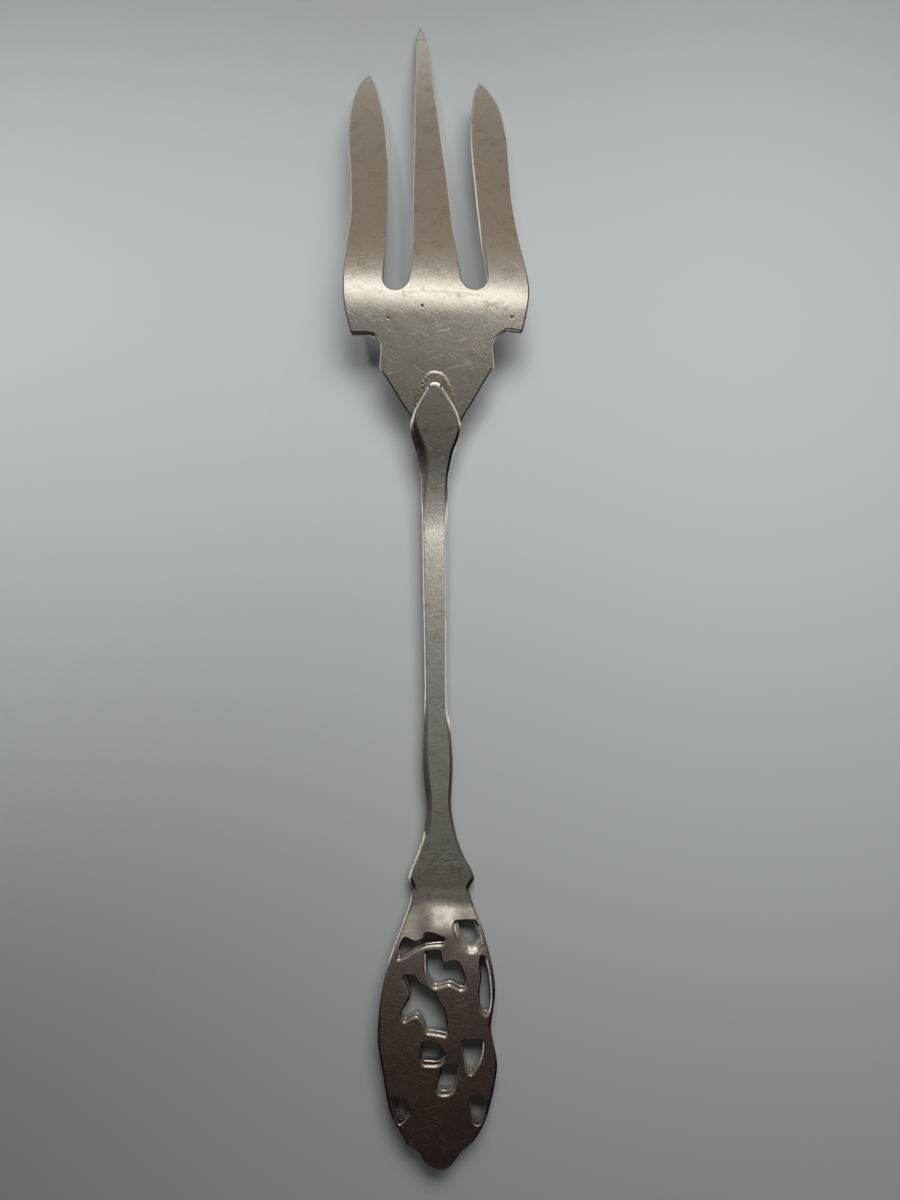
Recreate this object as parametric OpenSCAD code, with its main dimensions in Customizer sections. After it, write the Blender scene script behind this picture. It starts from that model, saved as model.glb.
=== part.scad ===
// Pastry fork lying on its front: a bent sheet head with three tines, a cast
// handle with a pierced finial, and the solder that joins them.
// +Y runs from the finial to the tine tips, +Z is the back of the fork.

/* [Tines] */
// Length of the centre tine from the slot roots to its tip
tine_len = 46.5; // [40:0.5:54]
// Length of the left tine
left_tine_len = 35.4; // [32:0.2:39]
// Length of the right tine
right_tine_len = 33.2; // [30:0.2:38]
// Width of a side tine at its root
side_tine_w = 4.9; // [4:0.1:5.4]
// Width of the centre tine a little above its root
centre_tine_w = 5.3; // [4.4:0.1:5.8]
// Sideways lean of the left tine at its tip
left_lean = -0.6; // [-1.2:0.1:0]
// Sideways lean of the centre tine at its tip
centre_lean = -2.65; // [-3.2:0.05:-1]
// Sideways lean of the right tine at its tip
right_lean = -3.3; // [-3.8:0.1:-1]

/* [Head sheet] */
// Width across the shoulders
head_w = 22.5; // [21.5:0.1:24]
// Thickness of the sheet at the neck and shoulders
sheet_t = 1.1; // [0.9:0.05:1.4]
// Thickness of the tines at their tips
tip_t = 0.8; // [0.6:0.05:1]
// Distance from the slot roots down to the left shoulder corner
left_shoulder_len = 4.8; // [4.2:0.1:5.6]
// Distance from the slot roots down to the right shoulder corner
right_shoulder_len = 5.1; // [4.2:0.1:5.6]
// How far each shoulder corner lies inside the widest line
corner_inset = 0.9; // [0.4:0.1:1.4]
// Radius of the cove between shoulder and neck
cove_r = 1.75; // [1.2:0.05:2]
// Width across the cove floor
cove_floor_w = 13.5; // [12.6:0.1:14]
// Width across the two small spurs under the coves
spur_w = 13.9; // [13.6:0.1:15]
// Distance from the slot roots down to the spurs
spur_len = 8.9; // [8.2:0.1:9.4]
// Length from the slot roots to the end of the sheet
neck_len = 18; // [16:0.5:20]
// Width of the sheet where it ends under the tongue
neck_end_w = 3.8; // [3:0.1:4.2]

/* [Side bend] */
// Distance from the slot roots to the highest line of the back
crest_offset = 4.9; // [3:0.1:7]
// Radius of the back over its highest line
crest_r = 30; // [20:1:40]
// Slope of the tines where the crest ends
tine_root_slope = 6; // [4:0.5:8]
// Slope of the tines at their tips
tine_tip_slope = 20; // [17:0.5:21]
// Slope of the neck
neck_slope = 15.5; // [14:0.25:16]
// Slope of the stem
stem_slope = 1.8; // [1:0.1:2.2]
// Length of handle below the end of the sheet that keeps the neck slope
foot_start_len = 1.8; // [0:0.1:3]
// Length of the curve from neck slope to stem slope
foot_len = 8.7; // [7:0.1:11]

/* [Handle bar] */
// Length from the end of the sheet to the points of the collar
stem_len = 50.5; // [44:0.5:56]
// Thickness of the stem
stem_t = 1.9; // [1.85:0.05:2.2]
// Length of the tongue that laps over the sheet
lap_len = 7; // [6:0.1:8]
// Width of the tongue at its widest
tongue_w = 6.1; // [5.4:0.1:6.8]
// Length of the tongue from its point to its widest line
nose_len = 4.9; // [4:0.1:5.8]
// Length from the widest line to the stem
heel_len = 6.4; // [5:0.1:8]
// Width of the stem below the tongue
stem_w = 3.2; // [2.8:0.1:3.8]
// Width of the stem above the swelling
stem_low_w = 2.75; // [2.4:0.05:3.2]
// Width of the swelling
swell_w = 3.4; // [3:0.1:4]
// Width of the waist between swelling and collar
waist_w = 2.8; // [2.4:0.1:3.2]
// Length from the collar points up to the waist
flare_len = 8.5; // [7:0.1:10]
// Length from the waist up to the middle of the swelling
swell_len = 4.1; // [3.4:0.1:5]
// Width across the collar points
collar_w = 7.5; // [6.8:0.1:8.2]
// Sideways shift of the stem from the middle line
stem_shift = -0.4; // [-0.6:0.05:0]
// Plan width of the left bevel along the stem
left_bevel = 0.4; // [0.3:0.05:0.6]
// Plan width of the left bevel at the collar
collar_bevel = 0.8; // [0.6:0.05:1]
// Plan width of the right bevel
right_bevel = 0.22; // [0.15:0.01:0.3]

/* [Finial] */
// Length of the finial with the neck of the collar
finial_len = 28; // [25:0.5:31]
// Height of the collar from its points to the notch
collar_h = 1; // [0.8:0.05:1.4]
// Width across the finial
finial_w = 12.7; // [11.8:0.1:13.6]
// Thickness of the finial from front rim to back
finial_t = 3.15; // [2.9:0.05:3.5]
// Depth of the sunk ground on the front
ground_depth = 0.9; // [0.6:0.05:1.2]
// Width of the raised rim on the front
rim_w = 0.9; // [0.7:0.05:1.2]
// Width of the raised border round each piercing
border_w = 0.75; // [0.6:0.05:1]

/* [Solder] */
// Thickness of the solder film between sheet and handle
film_t = 0.1; // [0.08:0.01:0.15]
// Height of the solder step in front of the tongue
apron_t = 0.3; // [0.22:0.01:0.4]
// How far the solder step reaches past the point of the tongue
apron_reach = 1.6; // [1:0.1:1.9]

/* [Hidden] */

// Overrun of a cut past the face it opens
over = 1;

// Stations along the length
total_len = tine_len + neck_len + stem_len + collar_h + finial_len;
tip_y = total_len / 2;
root_y = tip_y - tine_len;
sheet_end_y = root_y - neck_len;
collar_y = sheet_end_y - stem_len;
notch_y = collar_y - collar_h;
end_y = -total_len / 2;

// Tables of shares for the three tines: [share of the tine length,
// share of its lean, share of half its width]
left_tine_shares = [
    [0.045, 0, 1], [0.11, -0.15, 0.99], [0.19, -0.47, 0.955], [0.3, -0.76, 0.9],
    [0.44, -0.62, 0.935], [0.54, -0.3, 0.97], [0.64, 0.17, 0.99], [0.74, 0.55, 0.925],
    [0.84, 0.88, 0.745], [0.9, 0.98, 0.58], [0.955, 1.02, 0.34], [0.985, 0.93, 0.14],
    [1, 0.88, 0.03]
];
centre_tine_shares = [
    [0.04, -0.02, 1.14], [0.08, 0, 1.055], [0.135, 0.08, 0.96], [0.2, 0.165, 0.89],
    [0.33, 0.28, 0.79], [0.47, 0.42, 0.66], [0.63, 0.585, 0.52], [0.8, 0.775, 0.37],
    [0.9, 0.885, 0.285], [0.95, 0.955, 0.165], [0.985, 0.99, 0.07], [1, 1, 0.02]
];
right_tine_shares = [
    [0.045, 0.06, 0.98], [0.11, 0.175, 0.955], [0.185, 0.31, 0.935], [0.275, 0.415, 0.905],
    [0.365, 0.505, 0.89], [0.46, 0.56, 0.905], [0.56, 0.615, 0.935], [0.66, 0.66, 0.945],
    [0.765, 0.72, 0.85], [0.82, 0.76, 0.75], [0.88, 0.83, 0.6], [0.94, 0.92, 0.36],
    [0.975, 0.975, 0.15], [1, 1, 0.03]
];

// Flank of the neck from the end of the sheet to the spur: [share of the way
// out from half the end width to half the spur width, share of the height]
flank_shares = [[0, 0], [0.1, 0.16], [0.23, 0.34], [0.5, 0.57], [0.76, 0.8], [0.9, 0.92], [1, 1]];

// Side of the shoulder above its corner: [share of the corner inset, share of
// the shoulder length]
shoulder_shares = [[1, 0], [0.5, 0.34], [0.12, 0.72], [0.02, 0.98]];

// Tongue from its point to its widest line: [share of the nose length, share
// of half the tongue width]
nose_shares = [[0, 0.06], [0.012, 0.13], [0.05, 0.235], [0.12, 0.33], [0.265, 0.49],
    [0.43, 0.655], [0.63, 0.83], [0.84, 0.95], [1, 1]];

// From the widest line to the stem: [share of the heel length, share of the
// difference between tongue and stem]
heel_shares = [[0.15, 0.93], [0.31, 0.72], [0.45, 0.46], [0.61, 0.28], [0.78, 0.14], [1, 0]];

// From the waist to the collar points: [share of the flare length, share of
// the difference between waist and collar]
flare_shares = [[0.24, 0.06], [0.44, 0.19], [0.56, 0.31], [0.69, 0.47], [0.8, 0.68],
    [0.89, 0.86], [1, 1]];

// Middle line of the bar in shares of the stem shift, from tongue to collar
tongue_shift_share = 0.6;
stem_shift_share = 1.1;
low_shift_share = 0.6;
swell_shift_share = 0.25;
collar_shift_share = -0.75;

// Outline of the finial: [share of half its width, share of its length from
// the notch to the end]
finial_left_shares = [
    [-0.44, 0], [-0.53, 0.065], [-0.65, 0.14], [-0.765, 0.21], [-0.87, 0.285],
    [-0.95, 0.357], [-1, 0.43], [-1.025, 0.51], [-1.02, 0.57], [-0.975, 0.63],
    [-0.92, 0.69], [-0.865, 0.755], [-0.79, 0.815], [-0.66, 0.865], [-0.56, 0.9],
    [-0.52, 0.918]
];
finial_tip_shares = [
    [-0.4, 0.93], [-0.3, 0.948], [-0.22, 0.975], [-0.09, 0.994], [0.05, 1],
    [0.17, 0.992], [0.27, 0.968], [0.36, 0.942], [0.45, 0.926]
];
finial_right_shares = [
    [0.57, 0.905], [0.68, 0.872], [0.8, 0.82], [0.89, 0.755], [0.955, 0.69],
    [0.985, 0.64], [0.955, 0.59], [0.905, 0.54], [0.885, 0.505], [0.92, 0.455],
    [0.96, 0.4], [0.965, 0.35], [0.925, 0.287], [0.84, 0.21], [0.74, 0.137],
    [0.61, 0.065], [0.52, 0]
];

// Piercings of the finial in the same shares
piercing_shares = [
    [[-0.58, 0.183], [-0.47, 0.193], [-0.38, 0.197], [-0.29, 0.188], [-0.24, 0.168],
        [-0.12, 0.165], [0.02, 0.176], [0.125, 0.188], [0.08, 0.207], [-0.06, 0.209],
        [-0.24, 0.215], [-0.4, 0.23], [-0.52, 0.248], [-0.68, 0.262], [-0.71, 0.252],
        [-0.66, 0.208]],
    [[0.3, 0.126], [0.42, 0.119], [0.56, 0.12], [0.65, 0.13], [0.7, 0.162],
        [0.715, 0.197], [0.66, 0.217], [0.54, 0.221], [0.44, 0.209], [0.36, 0.186],
        [0.3, 0.152]],
    [[-0.22, 0.237], [-0.1, 0.231], [0.03, 0.233], [0.055, 0.262], [0.1, 0.277],
        [0.24, 0.27], [0.34, 0.272], [0.41, 0.297], [0.45, 0.33], [0.485, 0.36],
        [0.4, 0.371], [0.3, 0.362], [0.19, 0.352], [0.05, 0.36], [-0.07, 0.362],
        [-0.15, 0.34], [-0.21, 0.315], [-0.215, 0.275]],
    [[-0.6, 0.325], [-0.42, 0.323], [-0.34, 0.347], [-0.21, 0.365], [-0.08, 0.381],
        [-0.03, 0.4], [0.03, 0.42], [0.11, 0.45], [0.145, 0.5], [0.145, 0.537],
        [0.04, 0.535], [-0.12, 0.53], [-0.21, 0.525], [-0.27, 0.49], [-0.36, 0.468],
        [-0.47, 0.475], [-0.58, 0.488], [-0.63, 0.462], [-0.57, 0.43], [-0.5, 0.4],
        [-0.54, 0.362]],
    [[0.72, 0.252], [0.79, 0.254], [0.84, 0.29], [0.87, 0.34], [0.885, 0.39],
        [0.875, 0.43], [0.83, 0.458], [0.75, 0.455], [0.7, 0.43], [0.685, 0.385],
        [0.72, 0.335], [0.7, 0.29]],
    [[-0.27, 0.566], [-0.15, 0.557], [-0.03, 0.567], [0.06, 0.588], [0.11, 0.605],
        [0.07, 0.63], [-0.02, 0.64], [-0.15, 0.64], [-0.27, 0.636], [-0.3, 0.61]],
    [[0.4, 0.556], [0.57, 0.552], [0.73, 0.552], [0.75, 0.58], [0.71, 0.62],
        [0.63, 0.65], [0.535, 0.672], [0.46, 0.65], [0.42, 0.61], [0.39, 0.575]],
    [[0.06, 0.647], [0.19, 0.643], [0.31, 0.641], [0.335, 0.665], [0.3, 0.7],
        [0.25, 0.73], [0.16, 0.742], [0.04, 0.742], [-0.03, 0.73], [0.0, 0.7],
        [0.04, 0.672]],
    [[-0.78, 0.755], [-0.68, 0.754], [-0.59, 0.765], [-0.51, 0.785], [-0.48, 0.805],
        [-0.53, 0.825], [-0.64, 0.846], [-0.69, 0.832], [-0.74, 0.8], [-0.77, 0.775]],
    [[0.52, 0.754], [0.66, 0.751], [0.76, 0.753], [0.79, 0.77], [0.77, 0.8],
        [0.73, 0.83], [0.66, 0.846], [0.58, 0.838], [0.54, 0.81], [0.52, 0.78]]
];

// Steps of a spline between two of its points
steps = 4;
// Steps of a spline round a piercing
piercing_steps = 3;
// Steps of the two arcs of the side bend
tine_steps = 22;
crest_steps = 8;
// Steps of a cove and of the round root of a slot
cove_steps = 8;
slot_steps = 14;

// Point a share t of the way from b to c on a smooth curve through a, b, c, d
function curve_point(a, b, c, d, t) =
    b + (c - a) * t / 2
    + (2 * a - 5 * b + 4 * c - d) * t * t / 2
    + (3 * b - a - 3 * c + d) * t * t * t / 2;

// Smooth open curve through the points p, with n steps between two points
function spline(p, n) =
    let (last = len(p) - 1)
    concat(
        [for (i = [0 : last - 1], k = [0 : n - 1])
            curve_point(
                i == 0 ? 2 * p[0] - p[1] : p[i - 1], p[i], p[i + 1],
                i == last - 1 ? 2 * p[last] - p[last - 1] : p[i + 2], k / n)],
        [p[last]]);

// Smooth closed curve through the points p
function loop(p, n) =
    let (count = len(p))
    [for (i = [0 : count - 1], k = [0 : n - 1])
        curve_point(p[(i + count - 1) % count], p[i], p[(i + 1) % count],
            p[(i + 2) % count], k / n)];

// Arc about c from angle a0 to a1
function arc(c, r, a0, a1, n) =
    [for (k = [0 : n]) let (a = a0 + (a1 - a0) * k / n) c + r * [cos(a), sin(a)]];

function flip(p) = [for (q = p) [-q[0], q[1]]];
function turn_round(p) = [for (i = [len(p) - 1 : -1 : 0]) p[i]];

// Side bend of the head: the back falls from the crest to the tine tips along
// two arcs, and to the neck along an arc and a straight slope
crest_y = root_y + crest_offset;
tine_arc_r = (tip_y - crest_y - crest_r * sin(tine_root_slope))
    / (sin(tine_tip_slope) - sin(tine_root_slope));
tine_drop = crest_r * (1 - cos(tine_root_slope))
    + tine_arc_r * (cos(tine_root_slope) - cos(tine_tip_slope));
crest_z = tine_drop + tip_t * cos(tine_tip_slope);
neck_top_y = crest_y - crest_r * sin(neck_slope);
neck_top_z = crest_z - crest_r * (1 - cos(neck_slope));
sheet_end_z = neck_top_z - (neck_top_y - sheet_end_y) * tan(neck_slope);

// Back line of the head as rows of [y, z, slope, thickness], from the tine tips
// to the end of the sheet
function slope_row(y0, z0, r, a0, a, t) =
    [y0 + r * (sin(a) - sin(a0)), z0 - r * (cos(a0) - cos(a)), a, t];
function back_rows() = concat(
    [for (k = [0 : tine_steps])
        let (s = k / tine_steps, a = tine_tip_slope + (tine_root_slope - tine_tip_slope) * s)
        [crest_y + crest_r * sin(tine_root_slope) + tine_arc_r * (sin(a) - sin(tine_root_slope)),
            crest_z - crest_r * (1 - cos(tine_root_slope))
                - tine_arc_r * (cos(tine_root_slope) - cos(a)),
            a, tip_t + (sheet_t - tip_t) * s]],
    [for (k = [1 : crest_steps])
        let (a = tine_root_slope - (tine_root_slope + neck_slope) * k / crest_steps)
        [crest_y + crest_r * sin(a), crest_z - crest_r * (1 - cos(a)), a, sheet_t]],
    [[sheet_end_y, sheet_end_z, -neck_slope, sheet_t]]);

function top_point(row) = [row[0], row[1]];
function under_point(row) = [row[0] - row[3] * sin(row[2]), row[1] - row[3] * cos(row[2])];

// Places on the neck: v runs up the sheet from its end, w stands out of its back
function neck_v(y) = (y - sheet_end_y) / cos(neck_slope);
module lap_frame() {
    translate([0, sheet_end_y, sheet_end_z]) rotate([neck_slope, 0, 0]) children();
}

// Outline of a tine about its own middle line
function tine_edge(shares, root_x, length, lean, w, side) =
    [for (s = spline(shares, steps))
        [root_x + lean * s[1] + side * w * s[2] / 2, root_y + length * s[0]]];
function tine_outline(shares, root_x, length, lean, w) = concat(
    tine_edge(shares, root_x, length, lean, w, -1),
    turn_round(tine_edge(shares, root_x, length, lean, w, 1)));

side_root_x = (head_w - side_tine_w) / 2;

// Round root of a slot, from the tine edge at a down and up to the edge at b
function slot_root(a, b) =
    let (middle = (a + b) / 2)
    [for (k = [1 : slot_steps - 1])
        let (t = 180 * k / slot_steps)
        middle - (b - a) * cos(t) / 2 - [0, (middle[1] - root_y) * sin(t)]];

// Side of a shoulder, from under the sheet's end up to the start of the tine
function shoulder_side(length) = concat(
    [[head_w / 2 - corner_inset, sheet_end_y - over]],
    [for (s = spline(shoulder_shares, steps))
        [head_w / 2 - corner_inset * s[0], root_y - length * (1 - s[1])]]);

// Plan of shoulders and tines, up the left side, round the tines and down the right
function tines_outline() =
    let (
        left = tine_outline(left_tine_shares, -side_root_x, left_tine_len, left_lean, side_tine_w),
        centre = tine_outline(centre_tine_shares, 0, tine_len, centre_lean, centre_tine_w),
        right = tine_outline(right_tine_shares, side_root_x, right_tine_len, right_lean,
            side_tine_w))
    concat(
        flip(shoulder_side(left_shoulder_len)),
        left, slot_root(left[len(left) - 1], centre[0]),
        centre, slot_root(centre[len(centre) - 1], right[0]),
        right, turn_round(shoulder_side(right_shoulder_len)));

// Half of the neck, drawn on the sloping sheet: flank, spur, cove and the under
// edge of the shoulder
function neck_half(length) =
    let (spur_v = neck_v(root_y - spur_len), corner_v = neck_v(root_y - length))
    concat(
        [for (s = spline(flank_shares, steps))
            [(neck_end_w + (spur_w - neck_end_w) * s[0]) / 2, (spur_v + film_t) * s[1] - film_t]],
        arc([cove_floor_w / 2 + cove_r, corner_v - cove_r], cove_r, 180, 90, cove_steps),
        [[head_w, corner_v], [head_w, total_len]]);
function neck_outline() =
    concat(turn_round(neck_half(right_shoulder_len)), flip(neck_half(left_shoulder_len)));

// Prism with a profile of [y, z] points and its length along X
module side_prism(profile, w) {
    translate([-w / 2, 0, 0]) rotate([90, 0, 90]) linear_extrude(w) polygon(profile);
}

module fork_head() {
    rows = back_rows();
    color("silver") intersection() {
        translate([0, 0, -over]) linear_extrude(crest_z + 2 * over)
            polygon(tines_outline());
        lap_frame() translate([0, 0, -tip_y]) linear_extrude(2 * tip_y)
            polygon(neck_outline());
        side_prism(concat(
            [for (row = rows) top_point(row)],
            [for (row = turn_round(rows)) under_point(row)]), head_w - 2 * left_lean);
    }
}

// Back line of the handle: it lies over the neck, curves into the stem and
// runs down to the collar
lap_rise = (stem_t - sheet_t) / cos(neck_slope);
foot_r = foot_len / (sin(neck_slope) - sin(stem_slope));
foot_top_y = sheet_end_y - foot_start_len;
foot_top_z = sheet_end_z + lap_rise - foot_start_len * tan(neck_slope);
foot_y = foot_top_y - foot_len;
foot_z = foot_top_z - foot_r * (cos(stem_slope) - cos(neck_slope));
function foot_z_at(y) =
    let (a = asin(sin(stem_slope) + (y - foot_y) / foot_r))
    foot_z + foot_r * (cos(stem_slope) - cos(a));
function handle_z(y) =
    y >= foot_top_y ? foot_top_z + (y - foot_top_y) * tan(neck_slope)
    : y > foot_y ? foot_z_at(y)
    : foot_z - (foot_y - y) * tan(stem_slope);
function handle_under_z(y) =
    y >= foot_top_y ? handle_z(y) - stem_t / cos(neck_slope)
    : y > foot_y ? handle_z(y) - stem_t / cos(asin(sin(stem_slope) + (y - foot_y) / foot_r))
    : handle_z(y) - stem_t / cos(stem_slope);

// Plan of the bar as rows of [y, middle, half width, left bevel]
nose_y = sheet_end_y + lap_len;
wide_y = nose_y - nose_len;
heel_y = wide_y - heel_len;
waist_y = collar_y + flare_len;
swell_y = waist_y + swell_len;
low_y = swell_y + 2 * swell_len;
notch_x = stem_shift * collar_shift_share;
notch_half = (finial_right_shares[len(finial_right_shares) - 1][0] - finial_left_shares[0][0])
    * finial_w / 4;
// Places of the sections of the stem as shares of its length to the swelling
stem_rows = [0.125, 0.25, 0.5, 1];
function stem_row(s) =
    [heel_y + (low_y - heel_y) * s,
        stem_shift * (stem_shift_share + (low_shift_share - stem_shift_share) * s),
        (stem_w + (stem_low_w - stem_w) * s) / 2, left_bevel];
function bar_rows() = concat(
    [for (s = nose_shares)
        [nose_y - nose_len * s[0], stem_shift * tongue_shift_share, tongue_w * s[1] / 2, left_bevel]],
    [for (s = heel_shares)
        [wide_y - heel_len * s[0], stem_shift * tongue_shift_share
            + stem_shift * (stem_shift_share - tongue_shift_share) * s[0],
            (stem_w + (tongue_w - stem_w) * s[1]) / 2, left_bevel]],
    [for (s = stem_rows) stem_row(s)],
    [[(low_y + swell_y) / 2, stem_shift * (low_shift_share + swell_shift_share) / 2,
            (stem_low_w + swell_w) / 4, left_bevel],
        [swell_y, stem_shift * swell_shift_share, swell_w / 2, left_bevel],
        [waist_y, 0, waist_w / 2, (left_bevel + collar_bevel) / 2]],
    [for (s = flare_shares)
        [waist_y - flare_len * s[0], notch_x * s[0], (waist_w + (collar_w - waist_w) * s[1]) / 2,
            (left_bevel + collar_bevel) / 2 + (collar_bevel - left_bevel) / 2 * s[0]]]);

// Eight corners of the bar's section, a flat bar with its edges bevelled
bevel_depth_share = 0.34;
front_bevel_share = 0.22;
function bar_ring(row) =
    let (y = row[0], l = row[1] - row[2], r = row[1] + row[2],
        lb = min(row[3], row[2] * 0.8), rb = min(right_bevel, row[2] * 0.5),
        zt = handle_z(y), zb = handle_under_z(y), t = zt - zb)
    [[l + lb, y, zt], [r - rb, y, zt], [r, y, zt - t * bevel_depth_share],
        [r, y, zb + t * front_bevel_share], [r - rb, y, zb], [l + rb, y, zb],
        [l, y, zb + t * front_bevel_share], [l, y, zt - t * bevel_depth_share]];

// Closed solid through rings of equal count
module loft(rings) {
    n = len(rings[0]);
    last = len(rings) - 1;
    sides = [for (i = [0 : last - 1], k = [0 : n - 1])
        [i * n + k, i * n + (k + 1) % n, (i + 1) * n + (k + 1) % n, (i + 1) * n + k]];
    first_cap = [for (k = [n - 1 : -1 : 0]) k];
    last_cap = [for (k = [0 : n - 1]) last * n + k];
    polyhedron(points = [for (ring = rings) each ring],
        faces = concat(sides, [first_cap, last_cap]), convexity = 4);
}

module bar() {
    rows = spline(bar_rows(), 3);
    neck_row = [notch_y, notch_x, notch_half - right_bevel / 2, collar_bevel / 2];
    root_row = [notch_y - collar_h / 2, notch_x, notch_half - right_bevel, collar_bevel / 2];
    loft([for (row = concat(rows, [neck_row, root_row])) bar_ring(row)]);
}

// Places on the finial from shares of its half width and its length
function finial_points(shares) =
    [for (s = shares) [s[0] * finial_w / 2, notch_y - s[1] * finial_len]];
function finial_outline() = concat(
    spline(finial_points(finial_left_shares), steps),
    spline(finial_points(finial_tip_shares), steps),
    spline(finial_points(finial_right_shares), steps));

// Back of the finial: it rises in a soft step from the collar to the flat
step_start_share = 0.04;
step_end_share = 0.2;
front_start_share = 0.1;
function finial_back_z(s) =
    let (z0 = handle_z(notch_y),
        u = min(1, max(0, (s - step_start_share) / (step_end_share - step_start_share))))
    z0 + (finial_t - z0) * u * u * (3 - 2 * u);
function finial_profile() = concat(
    [for (k = [0 : 16])
        let (s = step_end_share * k / 16)
        [notch_y - finial_len * s, finial_back_z(s)]],
    [[end_y - over, finial_t], [end_y - over, 0],
        [notch_y - finial_len * front_start_share, 0],
        [notch_y, handle_under_z(notch_y)]]);

module finial_plan() {
    polygon(finial_outline());
}

module piercing_plan() {
    for (p = piercing_shares) polygon(loop(finial_points(p), piercing_steps));
}

// Sunk ground on the front, inside the rim and clear of the piercings
ground_start_share = 0.3;
module ground_plan() {
    difference() {
        offset(delta = -rim_w) finial_plan();
        offset(delta = border_w) piercing_plan();
        translate([-finial_w, notch_y - finial_len * ground_start_share])
            square([2 * finial_w, finial_len]);
    }
}

module finial() {
    difference() {
        intersection() {
            linear_extrude(finial_t + over) finial_plan();
            side_prism(finial_profile(), finial_w + 2 * over);
        }
        translate([0, 0, -over]) linear_extrude(finial_t + 2 * over) piercing_plan();
        translate([0, 0, -over]) linear_extrude(ground_depth + over) ground_plan();
    }
}

module lap_recess() {
    lap_frame() translate([-tongue_w, -film_t, film_t - 2 * stem_t])
        cube([2 * tongue_w, neck_len, 2 * stem_t]);
}

module handle() {
    color("gainsboro") difference() {
        union() {
            bar();
            finial();
        }
        lap_recess();
    }
}

// Outline of the solder on the sheet: the tongue's own nose moved forward and
// widened, running out along the tongue's flanks
apron_shares = [[0, 0.05], [0.012, 0.16], [0.035, 0.29], [0.11, 0.46], [0.23, 0.615],
    [0.385, 0.755], [0.54, 0.85], [0.7, 0.93], [0.85, 0.96], [1, 0.96]];
function apron_half() =
    [for (s = spline(apron_shares, steps))
        [tongue_w * s[1] / 2, nose_y + apron_reach - (nose_len + apron_reach) * s[0]]];

module solder_plan() {
    translate([stem_shift * tongue_shift_share, 0])
        polygon(concat(
            [[-neck_end_w / 2, sheet_end_y - over], [neck_end_w / 2, sheet_end_y - over]],
            turn_round(apron_half()), flip(apron_half())));
}

module solder_joint() {
    color("gray") difference() {
        intersection() {
            linear_extrude(crest_z) solder_plan();
            lap_frame() {
                translate([-tongue_w, -film_t, 0]) cube([2 * tongue_w, neck_len, apron_t]);
                translate([-tongue_w, -film_t, -sheet_t])
                    cube([2 * tongue_w, film_t, sheet_t + apron_t]);
            }
        }
        difference() {
            bar();
            lap_recess();
        }
    }
}

fork_head();
handle();
solder_joint();
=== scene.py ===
import math
import bpy
import bmesh
import numpy as np
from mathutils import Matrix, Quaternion, Vector, geometry
from mathutils.kdtree import KDTree


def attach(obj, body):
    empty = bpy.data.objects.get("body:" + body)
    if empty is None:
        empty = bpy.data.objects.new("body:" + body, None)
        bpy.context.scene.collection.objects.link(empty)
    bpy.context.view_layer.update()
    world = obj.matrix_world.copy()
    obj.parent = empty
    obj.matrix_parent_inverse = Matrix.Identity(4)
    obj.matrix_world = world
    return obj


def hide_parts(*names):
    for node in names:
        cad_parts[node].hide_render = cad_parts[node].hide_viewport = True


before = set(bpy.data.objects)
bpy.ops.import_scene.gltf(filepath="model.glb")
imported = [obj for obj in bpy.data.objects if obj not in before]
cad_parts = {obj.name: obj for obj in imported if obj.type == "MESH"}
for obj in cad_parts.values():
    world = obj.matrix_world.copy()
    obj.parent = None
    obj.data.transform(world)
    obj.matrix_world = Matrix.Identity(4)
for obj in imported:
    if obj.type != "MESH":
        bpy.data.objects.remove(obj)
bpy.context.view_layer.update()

# The pieces are measured in millimetres and become metres in makeObject, and the
# studio is in metres. +Y runs from the finial to the tine tips, +Z is the back.
millimetre = 0.001
# The faces lie this far inside the solids
skin = 0.004

# Side bend that the three pieces share
bend = {
    "tipY": 72.0, "rootY": 25.5, "sheetEndY": 7.5, "collarY": -43.0, "notchY": -44.0,
    "crestOffset": 4.9, "crestRadius": 30.0,
    "tineRootSlope": 6.0, "tineTipSlope": 20.0, "neckSlope": 15.5, "stemSlope": 1.8,
    "footStart": 1.8, "footLength": 8.7,
    "sheetThick": 1.1, "tipThick": 0.8, "stemThick": 1.9, "filmThick": 0.1,
}
tipY, rootY, sheetEndY = bend["tipY"], bend["rootY"], bend["sheetEndY"]
collarY, notchY, filmThick = bend["collarY"], bend["notchY"], bend["filmThick"]


def smoothCurve(points, steps, closed=False):
    # curve through all the points, with a number of steps between two of them
    p = np.array(points, float)
    if closed:
        a, b, c, d = np.roll(p, 1, 0), p, np.roll(p, -1, 0), np.roll(p, -2, 0)
    else:
        p = np.vstack([2 * p[0] - p[1], p, 2 * p[-1] - p[-2]])
        a, b, c, d = p[:-3], p[1:-2], p[2:-1], p[3:]
    parts = []
    for k in range(steps):
        t = k / steps
        parts.append(b + (c - a) * t / 2 + (2 * a - 5 * b + 4 * c - d) * t * t / 2
                     + (3 * b - a - 3 * c + d) * t ** 3 / 2)
    curve = np.stack(parts, 1).reshape(-1, p.shape[1])
    return curve if closed else np.vstack([curve, p[-2]])


def flipped(points):
    return np.array(points) * [-1, 1]


def eased(values, rounds, share=None):
    # each value moves towards its neighbours, in full or by its own share
    for _ in range(rounds):
        even = values / 2 + (np.roll(values, 1, 0) + np.roll(values, -1, 0)) / 4
        values = even if share is None else values + (even - values) * share
    return values


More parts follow.
